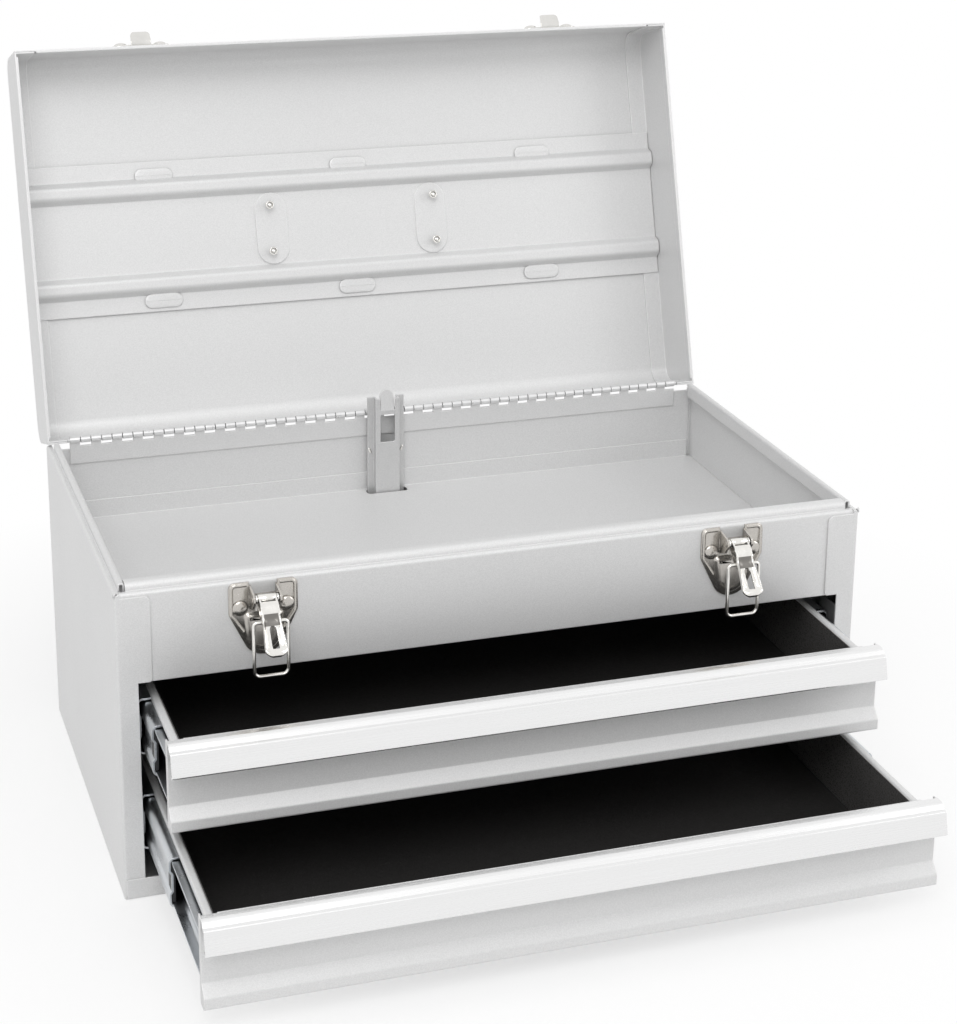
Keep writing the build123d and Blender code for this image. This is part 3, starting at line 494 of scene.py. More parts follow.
def edge_polish_and_highlight(tree, shader, edge, base, light, rough, polish):
    """A base colour and roughness: a painted highlight lightens the folds, and the folds are
    smoother.
    """
    worn = math_node(tree, "MULTIPLY", edge, -polish)
    feed(tree, shader, Base_Color=tones(tree, edge, base, light),
         Roughness=math_node(tree, "ADD", rough, worn))


def satin_paint(name, colour, rough, metal, flake):
    """Satin silver-grey metallic paint on steel, with a painted highlight along its folds."""
    finish, tree, shader = new_finish(name, metal)
    speck = place_group(tree, "Metallic Flake", Size=flake)
    hands = place_group(tree, "Handling Marks", Size=0.09)["Smear"]
    edge = surface(tree, shader, speck["Height"], 0.05, 0.0002, 0.0009)
    base = tones(tree, speck["Speckle"], shade(colour, 0.93), shade(colour, 1.05))
    smear = between(tree, hands, rough - 0.035, rough + 0.035, NOISE_SPAN)
    # Painted highlight: the colour lightens along folded edges.
    edge_polish_and_highlight(tree, shader, edge, base, shade(colour, 1.28), smear, 0.06)
    return finish


def drawn_metal(name, colour, rough):
    """Bright drawn metal with fine lines along its length."""
    finish, tree, shader = new_finish(name, 1.0)
    grain = place_group(tree, "Long Grain", Fineness=2500.0)["Grain"]
    bump = add_node(tree, "ShaderNodeBump", Strength=0.05, Distance=0.00002, Height=grain)
    feed(tree, shader, Normal=bump.outputs[0],
         Base_Color=tones(tree, grain, shade(colour, 0.98), shade(colour, 1.02)),
         Roughness=between(tree, grain, rough - 0.02, rough + 0.03, NOISE_SPAN))
    return finish


def plated_metal(name, colour, rough, radius, metal=1.0, cloud=0.01):
    """Plated steel, a little cloudy, with a painted highlight on its edges and painted shade in its
    corners.
    """
    finish, tree, shader = new_finish(name, metal)
    hands = place_group(tree, "Handling Marks", Size=cloud)["Smear"]
    edge = surface(tree, shader, hands, 0.04, 0.0003, radius)
    recess = place_group(tree, "Recess Shade", Reach=0.007)["Open"]
    base = tones(tree, hands, shade(colour, 0.9), shade(colour, 1.06))
    # Painted shade: the colour darkens towards a fifth of itself in corners and under folds.
    lit = between(tree, recess, 0.0, 1.0, (0.1, 0.75))
    base = tones(tree, lit, shade(colour, 0.2), base)
    smear = between(tree, hands, rough - 0.05, rough + 0.07, NOISE_SPAN)
    # Painted highlight: the colour lightens along folded edges.
    edge_polish_and_highlight(tree, shader, edge, base, shade(colour, 1.3), smear, 0.05)
    return finish


def moulded(name, colour, rough, grain=0.0006, strength=0.25):
    """Moulded plastic, rubber or foam with a fine grain."""
    finish, tree, shader = new_finish(name, 0.0, specular=0.4)
    speck = place_group(tree, "Metallic Flake", Size=grain)
    hands = place_group(tree, "Handling Marks", Size=0.05)["Smear"]
    surface(tree, shader, speck["Height"], strength, 0.0004, 0.0005)
    feed(tree, shader,
         Base_Color=tones(tree, hands, shade(colour, 0.8), shade(colour, 1.25)),
         Roughness=between(tree, speck["Speckle"], rough - 0.06, rough + 0.06))
    return finish


def finish_of(name):
    """The chest's finishes, each made once; a row is its maker and the maker's values in order."""
    if name not in FINISHES:
        look = bpy.context.scene.chest_finish
        paint, nickel = tuple(look.paint_colour), tuple(look.nickel_colour)
        rough, metal, flake = look.paint_roughness, look.paint_metal, look.flake_size
        maker, *values = {
            "paint": (satin_paint, "Satin silver paint", paint, rough, metal, flake),
            "bar": (satin_paint, "Lock bar paint", shade(paint, 0.86), rough - 0.04, metal, flake),
            # Near-black colour on the inner uprights: painted shade for the dark bays.
            "bay": (satin_paint, "Bay steel", (0.13, 0.13, 0.13), 0.5, 0.3, flake),
            "pull": (drawn_metal, "Polished aluminium", tuple(look.pull_colour),
                     look.pull_roughness),
            "latch": (plated_metal, "Nickel plate", nickel, look.nickel_roughness, 0.0003, 0.9),
            # A darker copy of the nickel: painted dark reflection in the levers' dips.
            "dip": (plated_metal, "Unpolished nickel", shade(nickel, 0.4), 0.34, 0.0003, 0.9),
            "keeper": (plated_metal, "Keeper nickel", (0.76, 0.75, 0.725), 0.16, 0.0002),
            "bright": (plated_metal, "Bright nickel", (0.86, 0.845, 0.81), 0.15, 0.0002, 1.0,
                       0.005),
            "hinge": (plated_metal, "Hinge steel", (0.78, 0.78, 0.78), 0.32, 0.0003, 0.6),
            "slide": (plated_metal, "Zinc plate", tuple(look.zinc_colour), 0.3, 0.0003, 1.0, 0.02),
            "wire": (plated_metal, "Handle wire", (0.66, 0.66, 0.65), 0.22, 0.0004),
            # Dark sheets inside the drawer walls: painted shade and reflection of the black mat.
            "lining": (moulded, "Drawer lining", (0.085, 0.082, 0.08), 0.3, 0.0005, 0.05),
            "mat": (moulded, "Foam liner", (0.016, 0.015, 0.0145), 0.7, 0.0012, 0.5),
            "grip": (moulded, "Grip rubber", (0.03, 0.03, 0.03), 0.5),
            "plastic": (moulded, "Slide end plastic", (0.02, 0.02, 0.021), 0.4, 0.0005, 0.08),
        }[name]
        FINISHES[name] = maker(*values)
    return FINISHES[name]


NODE_FINISHES = {
    # The inner uprights take a near-black colour as painted shade.
    "bay": ("upright_",),
    "paint": ("side_panel_", "base_pan", "back_panel", "header", "tray_floor", "lid_",
              "drawer_box_", "drawer_front_", "hinge_", "lock_guide"),
    "bar": ("lock_bar",),
    "latch": ("latch_", "keeper_"),
    "pull": ("drawer_pull_",),
    "slide": ("slide_",),
    "mat": ("drawer_mat_",),
    "grip": ("handle_grip",),
    "wire": ("handle_bail", "handle_bracket_"),
}


# ---- what a user would change
class ChestFinish(bpy.types.PropertyGroup):
    """Colours and surfaces of the chest."""

    paint_colour: bpy.props.FloatVectorProperty(
        name="Paint", description="Silver-grey of the painted sheet", subtype="COLOR", size=3,
        min=0, max=1, default=(0.70, 0.70, 0.70))
    paint_roughness: bpy.props.FloatProperty(
        name="Paint roughness", description="How satin the paint is", default=0.42, min=0.05, max=1,
        subtype="FACTOR")
    paint_metal: bpy.props.FloatProperty(
        name="Paint metal", description="Share of metallic flake in the paint", default=0.22, min=0,
        max=1, subtype="FACTOR")
    flake_size: bpy.props.FloatProperty(
        name="Flake", description="Size of the paint's flake", default=0.0004, min=0.0001, max=0.01,
        subtype="DISTANCE", unit="LENGTH")
    pull_colour: bpy.props.FloatVectorProperty(
        name="Pulls", description="Aluminium of the drawer pulls", subtype="COLOR", size=3, min=0,
        max=1, default=(0.85, 0.85, 0.85))
    pull_roughness: bpy.props.FloatProperty(
        name="Pull roughness", description="Polish of the drawer pulls", default=0.26, min=0.02,
        max=1, subtype="FACTOR")
    nickel_colour: bpy.props.FloatVectorProperty(
        name="Nickel", description="Nickel plate of latches and keepers", subtype="COLOR", size=3,
        min=0, max=1, default=(0.55, 0.525, 0.49))
    nickel_roughness: bpy.props.FloatProperty(
        name="Nickel roughness", description="Polish of latches and keepers", default=0.22,
        min=0.02, max=1, subtype="FACTOR")
    zinc_colour: bpy.props.FloatVectorProperty(
        name="Zinc", description="Zinc plate of the drawer slides", subtype="COLOR", size=3, min=0,
        max=1, default=(0.60, 0.62, 0.64))


class ChestHardware(bpy.types.PropertyGroup):
    """Sizes of the small hardware."""

    rivet_radius: bpy.props.FloatProperty(
        name="Latch rivet", description="Radius of a latch's rivet heads", default=0.0048,
        min=0.001, max=0.01, subtype="DISTANCE", unit="LENGTH")
    lid_rivet_radius: bpy.props.FloatProperty(
        name="Lid rivet", description="Radius of the rivets inside the lid", default=0.0030,
        min=0.001, max=0.01, subtype="DISTANCE", unit="LENGTH")
    spring_wire: bpy.props.FloatProperty(
        name="Spring wire", description="Radius of the latch springs' wire", default=0.00035,
        min=0.0002, max=0.002, subtype="DISTANCE", unit="LENGTH")
    knuckle_radius: bpy.props.FloatProperty(
        name="Knuckle", description="Outside radius of the hinge knuckles", default=0.00225,
        min=0.001, max=0.01, subtype="DISTANCE", unit="LENGTH")
    # Thickness of the dark sheets that paint shade and reflection on the drawer walls.
    lining: bpy.props.FloatProperty(
        name="Drawer lining", description="Thickness of the drawers' dark lining", default=0.0004,
        min=0.0001, max=0.003, subtype="DISTANCE", unit="LENGTH")


class ChestStudio(bpy.types.PropertyGroup):
    """Camera, light and floor."""

    camera_place: bpy.props.FloatVectorProperty(
        name="Camera", description="Where the camera stands", subtype="TRANSLATION", unit="LENGTH",
        size=3, default=(-0.4234, -1.3555, 0.7213))
    camera_turn: bpy.props.FloatProperty(
        name="Turn", description="How far right of straight back the camera looks", subtype="ANGLE",
        unit="ROTATION", default=radians(18.49))
    camera_dip: bpy.props.FloatProperty(
        name="Dip", description="How far down the camera looks", subtype="ANGLE", unit="ROTATION",
        default=radians(17.12))
    camera_roll: bpy.props.FloatProperty(
        name="Roll", description="The camera's tilt", subtype="ANGLE", unit="ROTATION",
        default=radians(0.61))
    lamp_power: bpy.props.FloatProperty(
        name="Lamps", description="Power of the large lamp", subtype="POWER", unit="POWER",
        default=22.0, min=0)
    sky_light: bpy.props.FloatProperty(
        name="Room light", description="Light that the white room gives", default=0.56, min=0,
        max=2, subtype="FACTOR")


# ---- operators, one for each group of pieces
class CHEST_OT_paint_parts(bpy.types.Operator):
    """Give every chest part its finish"""

    bl_idname = "chest.paint_parts"
    bl_label = "Finish Parts"

    def execute(self, context):
        for node, part in frame["nodes"].items():
            finish = next((name for name, starts in NODE_FINISHES.items()
                           if any(node.startswith(s) for s in starts)), None)
            if finish is None:
                raise RuntimeError(f"no finish is given for {node}")
            if not part.material_slots:
                part.data.materials.append(None)
            for slot in part.material_slots:
                slot.material = finish_of(finish)
        return {"FINISHED"}


class CHEST_OT_hinge_knuckles(bpy.types.Operator):
    """Roll the piano hinge's knuckles round its pin"""

    bl_idname = "chest.hinge_knuckles"
    bl_label = "Hinge Knuckles"

    def execute(self, context):
        radius = context.scene.chest_hardware.knuckle_radius / MM
        axis = joint_at("lid_hinge")
        left = corners("hinge_body_leaf")[0].x + 1.5
        pitch, count, width = 14.3, 31, 6.65
        eased, shoulder = 0.82 * radius, 0.47 * width
        roll = turned_part([(eased, -width / 2), (radius, -shoulder), (radius, shoulder),
                            (eased, width / 2)], 20)
        for body, shift in (("body", 0.25), ("lid", 0.75)):
            parts = [moved(roll, along_x(left + (i + shift) * pitch, axis.y, axis.z))
                     for i in range(count)]
            add_piece(f"hinge_{body}_knuckles", merge(parts), "hinge", body)
        length, pin_radius, chamfer = 445.5, 1.1, 0.3
        pin = turned_part([(0.6, 0), (pin_radius, chamfer), (pin_radius, length - chamfer),
                           (0.6, length)], 16)
        add_piece("hinge_pin", moved(pin, along_x(left - 0.7, axis.y, axis.z)), "slide", "body")
        return {"FINISHED"}


class CHEST_OT_latch_plates(bpy.types.Operator):
    """Press the latch plates, and add their pins, rivets and springs"""

    bl_idname = "chest.latch_plates"
    bl_label = "Latch Plates"

    def execute(self, context):
        sizes = context.scene.chest_hardware
        face = corners("header")[0].y + SEAT
        foot, ear_x, ear_ends, ear_round = -34, 16.75, (-4.0, -19.0), 4.0
        ears = [p for way in WAYS for up in ear_ends for p in circle(way * ear_x, up, ear_round)]
        outline = self.notched(around(ears + circle(0, foot, 12.5)))
        belly = around(circle(0, foot, 10.7) + circle(-9.0, -22.0, 3.0) + circle(9.0, -22.0, 3.0))
        belly_steps = [(0, 0.9), (0.05, 1.2), (0.5, 1.45), (1.2, 2.1), (2.1, 2.75), (3.2, 3.15),
                       (4.8, 3.35)]
        lug = around(circle(-7.5, 10.5, 3.4) + circle(-12.5, 8.0, 2.0)
                     + [(-2.2, 0.5), (-17.5, 0.5)])
        plate, lug_x, half_lug = 1.2, 7.9, 0.6
        for side in SIDES:
            low, high = corners(f"latch_plate_{side}")
            at = facing_front((low.x + high.x) / 2, face, high.z)
            parts = [stamped(outline, [(0, 0), (0, 1.0), (0.25, plate)]),
                     stamped(belly, belly_steps)]
            for way in WAYS:
                route = [(9.9, -1.7), (19.1, -1.7), (19.1, -20.4), (12.2, -31.0)]
                route = arc_route([(way * x, z) for x, z in route], [2.6, 3.4])
                parts.append(moved(bead(route, 2.1, 0.85), (0, 0, plate - 0.05)))
                parts.append(slab(lug, way * lug_x - half_lug, way * lug_x + half_lug))
            add_piece(f"latch_base_{side}", moved(merge(parts), at), "latch", "body",
                      crease=50, soften=0.15, replaces=[f"latch_plate_{side}"])
            head = dome(sizes.rivet_radius / MM, 2.3)
            heads = [moved(head, at @ Matrix.Translation((way * 14.0, -15.8, plate)))
                     for way in WAYS]
            pivot = joint_at(f"lever_{side}_pivot")
            half_pin = [(1.5, 8.5), (2.0, 8.55), (2.0, 8.8), (1.4, 8.95)]
            pin = turned_part([(r, -x) for r, x in reversed(half_pin)] + half_pin, 20)
            heads.append(moved(pin, along_x(*pivot)))
            add_piece(f"latch_rivets_{side}", merge(heads), "latch", "body")
            coils = [self.spring(way, sizes.spring_wire / MM) for way in WAYS]
            add_piece(f"latch_spring_{side}", moved(merge(coils), pivot), "bright", "body")
        return {"FINISHED"}

    def notched(self, outline):
        """The plate's outline with the notch between its ears."""
        half, foot = 8.5, -8
        kept = [p for p in outline if p[1] < -0.01 or abs(p[0]) > half + 1.5]
        split = max((i for i, p in enumerate(kept) if p[0] > 0),
                    key=lambda i: kept[i][1] * 100 - kept[i][0])
        notch = [(half, 0), (half, foot), (-half, foot), (-half, 0)]
        return kept[:split + 1] + notch + kept[split + 1:]

    def spring(self, way, thick):
        """A torsion spring round the pin, its legs on the plate."""
        start, coil, per_turn = 5.95, 2.2, 24
        turns = [(way * (start + 0.5 * i / per_turn), coil * cos(i * 2 * pi / per_turn),
                  coil * sin(i * 2 * pi / per_turn)) for i in range(per_turn * 3 // 2 + 1)]
        return wire([(way * start, coil, -8.0)] + turns + [(way * 6.7, 8.6, -6.0)], thick, sides=8)


class CHEST_OT_latch_levers(bpy.types.Operator):
    """Press the latch levers and bend their loops"""

    bl_idname = "chest.latch_levers"
    bl_label = "Latch Levers"

    def execute(self, context):
        barrel = turned_part([(2.4, -5.7), (2.9, -5.2), (2.9, 5.2), (2.4, 5.7)], 28)
        barrel = moved(barrel, along_x(0, 0, 0))
        cheek = around(circle(0, 0, 2.7, 20) + circle(0, -14, 2.2, 20)
                       + [(-4.0, -4.2), (-3.0, -18.0)])
        cheeks = [slab(cheek, *sorted((way * 4.4, way * 5.35))) for way in WAYS]
        lever = merge([self.sheet(), barrel] + cheeks)
        wire_radius, half = 1.1, 10.2
        for side in SIDES:
            pivot, low = joint_at(f"lever_{side}_pivot"), joint_at(f"bail_{side}_pivot")
            lean = atan2(low.y - pivot.y, pivot.z - low.z)
            hang = Matrix.Translation(pivot) @ Matrix.Rotation(lean, 4, "X")
            handle = add_piece(f"latch_handle_{side}", moved(lever, hang), "bright",
                               f"lever_{side}", crease=50, replaces=[f"latch_lever_{side}"])
            self.paint_dip_reflection(handle, hang.inverted())
            foot = corners(f"latch_bail_{side}")[0].z + wire_radius - low.z
            line = [(-4.2, 0, 0), (-half, 0, 0), (-half, 0, foot), (half, 0, foot), (half, 0, 0),
                    (4.2, 0, 0)]
            line = arc_route(line, [2.2, 3.6, 3.6, 2.2])
            add_piece(f"latch_loop_{side}", moved(wire(line, wire_radius), low),
                      "bright", f"bail_{side}", replaces=[f"latch_bail_{side}"])
        return {"FINISHED"}

    def paint_dip_reflection(self, handle, to_lever):
        """Paint a dark reflection into the front of the lever's dip, as a darker nickel."""
        low, high, front, half = -17.6, -10.2, -1.6, 4.4
        handle.data.materials.append(finish_of("dip"))
        for face in handle.data.polygons:
            at = to_lever @ (face.center / MM)
            if low < at.z < high and at.y < front and abs(at.x) < half:
                face.material_index = 1

    def sheet(self):
        """The lever's sheet, hanging from its pivot: (down, out, half width, rim, half slot)."""
        rows = [(2.7, 1.6, 5.2, 0, 2), (2.9, 3.6, 5.2, 0, 2), (3.4, 4.3, 5.3, 0, 2),
                (6.0, 4.6, 5.4, 0, 2), (9.4, 4.5, 5.4, 0, 2), (10.6, 4.1, 5.4, 0.2, 2),
                (12.0, 3.0, 5.5, 0.9, 2), (14.0, 2.2, 5.6, 1.5, 1.6), (16.0, 2.2, 5.7, 1.7, 1.2),
                (17.5, 2.5, 5.8, 1.7, 0.9), (18.2, 2.6, 5.8, 1.7, 1.6), (19.6, 2.7, 5.9, 1.7, 2.1),
                (22.0, 2.8, 6.0, 1.7, 2.1), (26.0, 2.9, 6.3, 1.7, 2.1), (30.0, 3.1, 6.7, 1.5, 2.1),
                (31.4, 3.5, 6.8, 1.1, 1.9), (32.4, 4.0, 6.8, 0.8, 2), (33.6, 4.3, 6.4, 0.4, 2),
                (34.7, 4.1, 5.4, 0.2, 1.8), (35.5, 3.5, 4.0, 0.1, 1.4), (36.0, 2.6, 2.4, 0, 0.8)]
        thickness, slot_rows, slot_column = 1.2, range(9, 15), 4
        face = []
        for down, out, half, rim, slot in rows:
            across = [(half, 0.35), (half - 0.55, 1.0), (half - 1.2, 0.7), (half - 2.0, 0.05)]
            right = [(max(x, slot), rim * lift) for x, lift in across] + [(slot, 0)]
            points = [(-x, lift) for x, lift in right] + right[::-1]
            face.append([(x, -out - lift, -down) for x, lift in points])
        return pressed(face, thickness, {(row, slot_column) for row in slot_rows})


class CHEST_OT_keepers(bpy.types.Operator):
    """Press the keepers on the lid, with their hooks and rivets"""

    bl_idname = "chest.keepers"
    bl_label = "Keepers"

    def execute(self, context):
        width, height, thickness = 40, 26, 1.1
        plate = stamped(rounded_box(width, height, 5),
                        [(0, 0), (0, 0.9), (0.5, 1.3), (1.2, 1.5), (1.9, 1.25), (2.6, thickness)])
        heads = [moved(dome(4.6, 2.6), (way * 13.6, -6.0, thickness)) for way in WAYS]
        for side in SIDES:
            low, high = shut_corners(f"keeper_{side}")
            face = shut_corners("lid_shell")[0].y + SEAT
            at = facing_front((low.x + high.x) / 2, face, high.z - height / 2)
            hook = self.hook(face - low.y)
            add_piece(f"keeper_plate_{side}", moved(merge([plate, hook] + heads), at), "keeper",
                      "lid", LID_PLACE, 50, soften=0.2, replaces=[f"keeper_{side}"])
        return {"FINISHED"}

    def hook(self, reach):
        """A strip that leaves the plate under the loop and turns up before it, its tip rounded."""
        bar, shelf, tip, corner = -6.5, 8, 3.8, 3.2
        gap = reach - 8.62
        line = arc_route([(bar - 2 * gap, 0.6), (bar - 1.9 * gap, 4.0),
                          (bar - 0.9 * gap, shelf + gap), (bar + 1.8 * gap, shelf + gap)],
                         [gap + 0.2] * 2, 12)
        over = [min(3.1, max(0.0, p.y - (reach - tip))) for p in line]
        widths = [7.6 + 2 * (corner ** 2 - past ** 2) ** 0.5 for past in over]
        return strip([p.xy for p in line], widths, 1.2)


class CHEST_OT_lid_details(bpy.types.Operator):
    """Add the lid's rivets and its pressed weld pads"""

    bl_idname = "chest.lid_details"
    bl_label = "Lid Details"

    def execute(self, context):
        radius = context.scene.chest_hardware.lid_rivet_radius / MM
        low, high = shut_corners("lid_stiffener")
        flange, middle = high.z - 1.8, (low.y + high.y) / 2
        under = Matrix.Rotation(pi, 4, "X")

        def spread(part, columns, rows, z):
            """A part on the underside at each column and row."""
            return merge([moved(part, Matrix.Translation((x, middle + y, z)) @ under)
                          for x in columns for y in rows])

        pad = stamped(rounded_box(27, 10, 4.9), [(0, -0.2), (0, 0.0), (1.0, 0.07), (2.2, 0.16)])
        add_piece("lid_weld_pads", spread(pad, (-141.5, 0.0, 141.5), (-43.0, 45.5), flange),
                  "paint", "lid", LID_PLACE, 50)
        ring = turned_part([(radius, -0.6), (radius, 0.7), (radius - 0.3, 1.1), (radius - 0.8, 1.1),
                            (radius - 1.0, 0.7), (radius - 1.05, -0.3), (1.2, -0.3), (1.15, 0.3),
                            (0.9, 0.5), (0.05, 0.5)], 28)
        add_piece("lid_rivets", spread(ring, (-61.0, 61.0), (-16.6, 16.3), low.z), "bright",
                  "lid", LID_PLACE)
        return {"FINISHED"}


class CHEST_OT_pulls(bpy.types.Operator):
    """Extrude the drawer pulls"""

    bl_idname = "chest.pulls"
    bl_label = "Drawer Pulls"

    def execute(self, context):
        depth, wall = 14.6, 1.2
        route = [(0.1, -0.6), (5.2, -0.6), (8.3, -3.7), (10.7, -4.0), (11.5, -8.0), (12.9, -13.0),
                 (13.9, -17.5), (9.6, -17.0)]
        section = sheet_outline(arc_route(route, [3.4, 0.7, 0.5, 8, 8, 0.8]), wall)
        for level in LEVELS:
            low, high = corners(f"drawer_pull_{level}")
            outline = [(low.y + depth - out, high.z + up) for out, up in section]
            add_piece(f"drawer_handle_{level}", slab(outline, low.x, high.x), "pull",
                      f"drawer_{level}", soften=0.15, replaces=[f"drawer_pull_{level}"])
        return {"FINISHED"}


class CHEST_OT_drawer_boxes(bpy.types.Operator):
    """Fold the drawers' sheet boxes and line them with dark sheets: painted shade and reflection on
    the walls
    """

    bl_idname = "chest.drawer_boxes"
    bl_label = "Drawer Boxes"

    def execute(self, context):
        thick = context.scene.chest_hardware.lining / MM
        sheet, rim_drop, rim_width, rear_height, clear = 0.8, 6.5, 4.6, 36.5, 0.02
        for level in LEVELS:
            low, high = corners(f"drawer_box_{level}")
            mat_low, mat_high = corners(f"drawer_mat_{level}")
            foot, floor, rim, rear = low.z, mat_low.z, high.z - rim_drop, low.z + rear_height
            inner, front, back = mat_high.x + 2, mat_low.y - 2, mat_high.y + 2
            near, far = low.y + 0.1, high.y - 0.1
            parts = [block((-inner - sheet, near, foot), (inner + sheet, far, floor - clear)),
                     block((-inner, near, foot), (inner, front, high.z)),
                     block((-inner, back, foot), (inner, far, rear))]
            middle, lip = inner + sheet / 2, inner + rim_width
            for way in WAYS:
                wall = [(middle, foot + 0.4), (middle, rim - 0.4), (lip, rim - 0.4),
                        (lip, rim - 3.0)]
                line = arc_route([(way * x, z) for x, z in wall], [1.6, 1.0])
                parts.append(run_back(sheet_outline(line, sheet), near, far))
            add_piece(f"drawer_tray_{level}", merge(parts), "paint", f"drawer_{level}", crease=30,
                      replaces=[f"drawer_box_{level}"])
            # Painted shade: dark sheets over the silver walls stand in for their shade and the
            # reflection of the black mat.
            half, side = inner - clear, inner - 0.25
            liner = [block((-half, front + clear, floor), (half, front + thick, rim - 1)),
                     block((-half, back - thick, floor), (half, back - clear, rear - 1))]
            liner += [block((x - thick / 2, front + 0.5, floor),
                            (x + thick / 2, back - 0.5, rim - 0.9)) for x in (-side, side)]
            add_piece(f"drawer_lining_{level}", merge(liner), "lining", f"drawer_{level}")
        return {"FINISHED"}


class CHEST_OT_slides(bpy.types.Operator):
    """Roll the drawer slides' members, with their end pieces"""

    bl_idname = "chest.slides"
    bl_label = "Drawer Slides"

    def execute(self, context):
        for level in LEVELS:
            for side, way in SIDES.items():
                for member, body in (("cabinet", "body"), ("middle", f"runner_{level}"),
                                     ("drawer", f"drawer_{level}")):
                    self.add_member(f"slide_{member}_{level}_{side}", member, way, body)
        return {"FINISHED"}

    def add_member(self, node, member, way, body):
        """One member: a rolled channel, its two races standing out from a web that is set back."""
        wall, drop = 1.2, 4.5
        low, high = corners(node)
        top, foot = high.z - drop, low.z - drop
        outer, inner = (low.x, high.x) if way < 0 else (high.x, low.x)
        back, lip = (inner, outer) if member == "drawer" else (outer, inner)
        turn = 1 if back < lip else -1
        race, set_back = (top - foot) * 0.27, 2.4 if member == "drawer" else 2.0
        skin, web = back + turn * wall / 2, back + turn * set_back
        route = [(lip, top - wall / 2), (skin, top - wall / 2), (skin, top - race),
                 (web, top - race - 2), (web, foot + race + 2), (skin, foot + race),
                 (skin, foot + wall / 2), (lip, foot + wall / 2)]
        line = arc_route(route, [3.2, 1.4, 1.4, 1.4, 1.4, 3.2])
        add_piece(f"{node}_rail", run_back(sheet_outline(line, wall), low.y, high.y), "slide", body,
                  replaces=[node])
        if member == "middle":
            length, margin = 9.0, 3.2
            x_low, x_high = sorted((back + turn * 1.3, back + turn * 4.0))
            end = block((x_low, low.y + 0.3, foot + margin), (x_high, low.y + length, top - margin))
            add_piece(f"{node}_end", end, "plastic", body, soften=0.8)


class CHEST_OT_lock_bar_marks(bpy.types.Operator):
    """Press the lock bar's guide dimples"""

    bl_idname = "chest.lock_bar_marks"
    bl_label = "Lock Bar Marks"

    def execute(self, context):
        points = [v.co / MM for v in frame["nodes"]["lock_bar"].data.vertices]
        face = min(p.y for p in points if abs(p.x) > 10.5 and p.z > 190)
        reach, height, lean = 11.6, 172.0, 0.4
        dimple = stamped(around(circle(0, 1.4, 0.9, 20) + circle(0, -1.4, 0.9, 20)),
                         [(0, -0.3), (0.1, 0.2), (0.4, 0.45), (0.7, 0.5)])
        parts = [moved(dimple, facing_front(way * reach, face - 0.02, height)
                       @ Matrix.Rotation(-way * lean, 4, "Z")) for way in WAYS]
        add_piece("lock_bar_dimples", merge(parts), "bright", "lock_bar")
        return {"FINISHED"}


class CHEST_OT_carry_handle(bpy.types.Operator):
    """Bend the carry handle's wire and mould its grip"""

    bl_idname = "chest.carry_handle"
    bl_label = "Carry Handle"

    def execute(self, context):
        low, high = corners("handle_grip")
        centre, half = (low + high) / 2, (high.x - low.x) / 2
        full, groove, end, grooves, pitch = 7.0, 6.3, 5.4, 9, half / 5.2
        profile = [(end, -half), (6.6, 0.6 - half), (full, 1.6 - half)]
        for i in range(grooves):
            at = (i - grooves // 2) * pitch
            profile += [(full, at - 1.6), (groove, at - 0.9), (groove, at + 0.9), (full, at + 1.6)]
        profile += [(full, half - 1.6), (6.6, half - 0.6), (end, half)]
        add_piece("handle_grip_moulding", moved(turned_part(profile, 36), along_x(*centre)), "grip",
                  "carry_handle", crease=50, replaces=["handle_grip"])
        pivot, thick = joint_at("carry_handle_swing"), 3.0
        box_low, box_high = corners("handle_bail")
        reach, drop = (box_high.x - box_low.x) / 2 - thick, centre - pivot
        line = [(-42.0, 0, 0), (-reach, 0, 0), (-reach, drop.y, drop.z), (reach, drop.y, drop.z),
                (reach, 0, 0), (42.0, 0, 0)]
        route = arc_route(line, [4.0, 9.0, 9.0, 4.0])
        add_piece("handle_wire", moved(wire(route, thick), pivot), "wire",
                  "carry_handle", replaces=["handle_bail"])
        return {"FINISHED"}


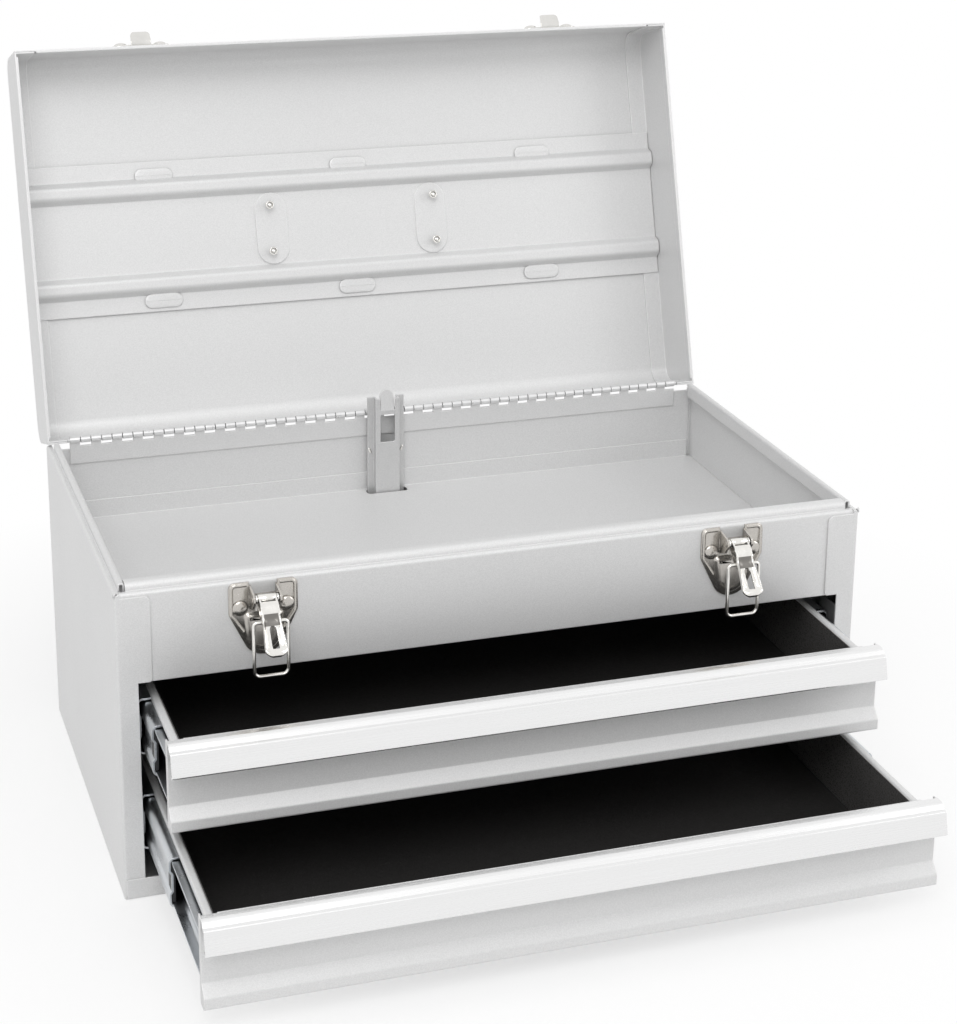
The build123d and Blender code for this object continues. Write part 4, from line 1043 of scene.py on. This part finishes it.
class CHEST_OT_studio(bpy.types.Operator):
    """Set the floor, lamps and camera"""

    bl_idname = "chest.studio"
    bl_label = "Studio"

    def execute(self, context):
        scene, studio = context.scene, context.scene.chest_studio
        self.add_floor()
        self.add_room(scene, studio.sky_light)
        power = studio.lamp_power
        self.add_lamp("Large soft box", (-0.75, -1.65, 1.95), (0, 0, 0.2), 1.3, power)
        self.add_lamp("Side soft box", (1.6, -0.9, 1.1), (0, 0, 0.15), 1.0, power * 0.3)
        self.add_lamp("Top soft box", (0.0, -0.3, 2.1), (0, -0.05, 0.1), 1.2, power * 0.3, False)
        self.add_lamp("Left soft box", (-1.9, 0.1, 0.9), (0, 0, 0.15), 1.0, power * 0.08)
        self.add_camera(scene, studio)
        scene.view_settings.view_transform = "Standard"
        return {"FINISHED"}

    def add_camera(self, scene, studio):
        """The camera, placed and turned by the sidebar's values."""
        turn, dip, roll = studio.camera_turn, studio.camera_dip, studio.camera_roll
        ahead = Vector((sin(turn) * cos(dip), cos(turn) * cos(dip), -sin(dip)))
        right = Vector((cos(turn), -sin(turn), 0))
        up = right.cross(ahead)
        data = bpy.data.cameras.new("Camera")
        data.lens, data.sensor_width = 81.03, 36.0
        data.shift_x, data.shift_y = -0.0055, -0.1584
        data.clip_start, data.clip_end = 0.05, 50
        camera = bpy.data.objects.new("Camera", data)
        scene.collection.objects.link(camera)
        axes = Matrix((right * cos(roll) + up * sin(roll), up * cos(roll) - right * sin(roll),
                       -ahead))
        camera.matrix_world = Matrix.Translation(studio.camera_place) @ axes.transposed().to_4x4()
        scene.camera = camera

    def add_floor(self):
        """A white floor that keeps the chest's shadow."""
        half, level = 6.0, -2e-4
        mesh = bpy.data.meshes.new("studio_floor")
        square = ((-half, -half), (half, -half), (half, half), (-half, half))
        mesh.from_pydata([(x, y, level) for x, y in square], [], [(0, 1, 2, 3)])
        floor = bpy.data.objects.new("studio_floor", mesh)
        bpy.context.scene.collection.objects.link(floor)
        finish, tree, shader = new_finish("Studio floor", 0.0, specular=0.2)
        hands = place_group(tree, "Handling Marks", Size=1.5)["Smear"]
        white = tones(tree, hands, (0.92, 0.92, 0.92), (0.95, 0.95, 0.95))
        feed(tree, shader, Base_Color=white, Roughness=0.8)
        where = add_node(tree, "ShaderNodeTexCoord")
        reach = add_node(tree, "ShaderNodeVectorMath", operation="LENGTH")
        feed(tree, reach, where.outputs["Object"])
        whiter = between(tree, reach.outputs["Value"], 0.6, 1.0, (0.25, 0.55))
        lift = math_node(tree, "MULTIPLY", self.seen(tree), whiter)
        glow = add_node(tree, "ShaderNodeEmission", Strength=1.0)
        both = add_node(tree, "ShaderNodeMixShader")
        feed(tree, both, lift, shader.outputs[0], glow.outputs[0])
        feed(tree, tree.nodes["Material Output"], Surface=both.outputs[0])
        mesh.materials.append(finish)

    def add_room(self, scene, light):
        """A white room: seen as white, and giving an even light."""
        world = scene.world or bpy.data.worlds.new("Room")
        scene.world = world
        world.use_nodes = True
        tree = world.node_tree
        tree.nodes.clear()
        back = add_node(tree, "ShaderNodeBackground", Color=(1.0, 1.0, 1.0, 1.0),
                        Strength=between(tree, self.seen(tree), light, 1.0))
        add_node(tree, "ShaderNodeOutputWorld", Surface=back.outputs[0])

    def seen(self, tree):
        """One for what the camera sees, also in a reflection or through glass."""
        rays = add_node(tree, "ShaderNodeLightPath").outputs
        value = rays["Is Camera Ray"]
        for ray in ("Is Glossy Ray", "Is Transmission Ray"):
            value = math_node(tree, "MAXIMUM", value, rays[ray])
        return value

    def add_lamp(self, name, place, target, size, power, reflected=True):
        """A square soft box that looks at a point, seen in polished metal or not."""
        data = bpy.data.lights.new(name, "AREA")
        data.shape, data.size, data.energy = "SQUARE", size, power
        lamp = bpy.data.objects.new(name, data)
        lamp.location = place
        lamp.rotation_euler = (Vector(target) - Vector(place)).to_track_quat("-Z", "Y").to_euler()
        lamp.visible_glossy = reflected
        bpy.context.scene.collection.objects.link(lamp)


class CHEST_PT_looks(bpy.types.Panel):
    """The chest's finishes, hardware and studio"""

    bl_idname = "CHEST_PT_looks"
    bl_label = "Tool Chest"
    bl_space_type = "VIEW_3D"
    bl_region_type = "UI"
    bl_category = "Tool Chest"

    def draw(self, context):
        layout = self.layout
        for title in ("Finish", "Hardware", "Studio"):
            box = layout.box()
            box.label(text=title)
            values = getattr(context.scene, f"chest_{title.lower()}")
            for name in values.bl_rna.properties.keys():
                if name not in ("rna_type", "name"):
                    box.prop(values, name)
        for operator in OPERATORS:
            layout.operator(operator.bl_idname)


OPERATORS = (CHEST_OT_paint_parts, CHEST_OT_hinge_knuckles, CHEST_OT_latch_plates,
             CHEST_OT_latch_levers, CHEST_OT_keepers, CHEST_OT_lid_details, CHEST_OT_pulls,
             CHEST_OT_drawer_boxes, CHEST_OT_slides, CHEST_OT_lock_bar_marks,
             CHEST_OT_carry_handle, CHEST_OT_studio)
GROUPS = {"chest_finish": ChestFinish, "chest_hardware": ChestHardware, "chest_studio": ChestStudio}


def register():
    for item in (*GROUPS.values(), *OPERATORS, CHEST_PT_looks):
        bpy.utils.register_class(item)
    for name, group in GROUPS.items():
        setattr(bpy.types.Scene, name, bpy.props.PointerProperty(type=group))


def unregister():
    for name in GROUPS:
        delattr(bpy.types.Scene, name)
    for item in reversed((*GROUPS.values(), *OPERATORS, CHEST_PT_looks)):
        bpy.utils.unregister_class(item)


def main():
    register()
    for operator in OPERATORS:
        family, name = operator.bl_idname.split(".")
        getattr(getattr(bpy.ops, family), name)()


if __name__ == "__main__":
    main()
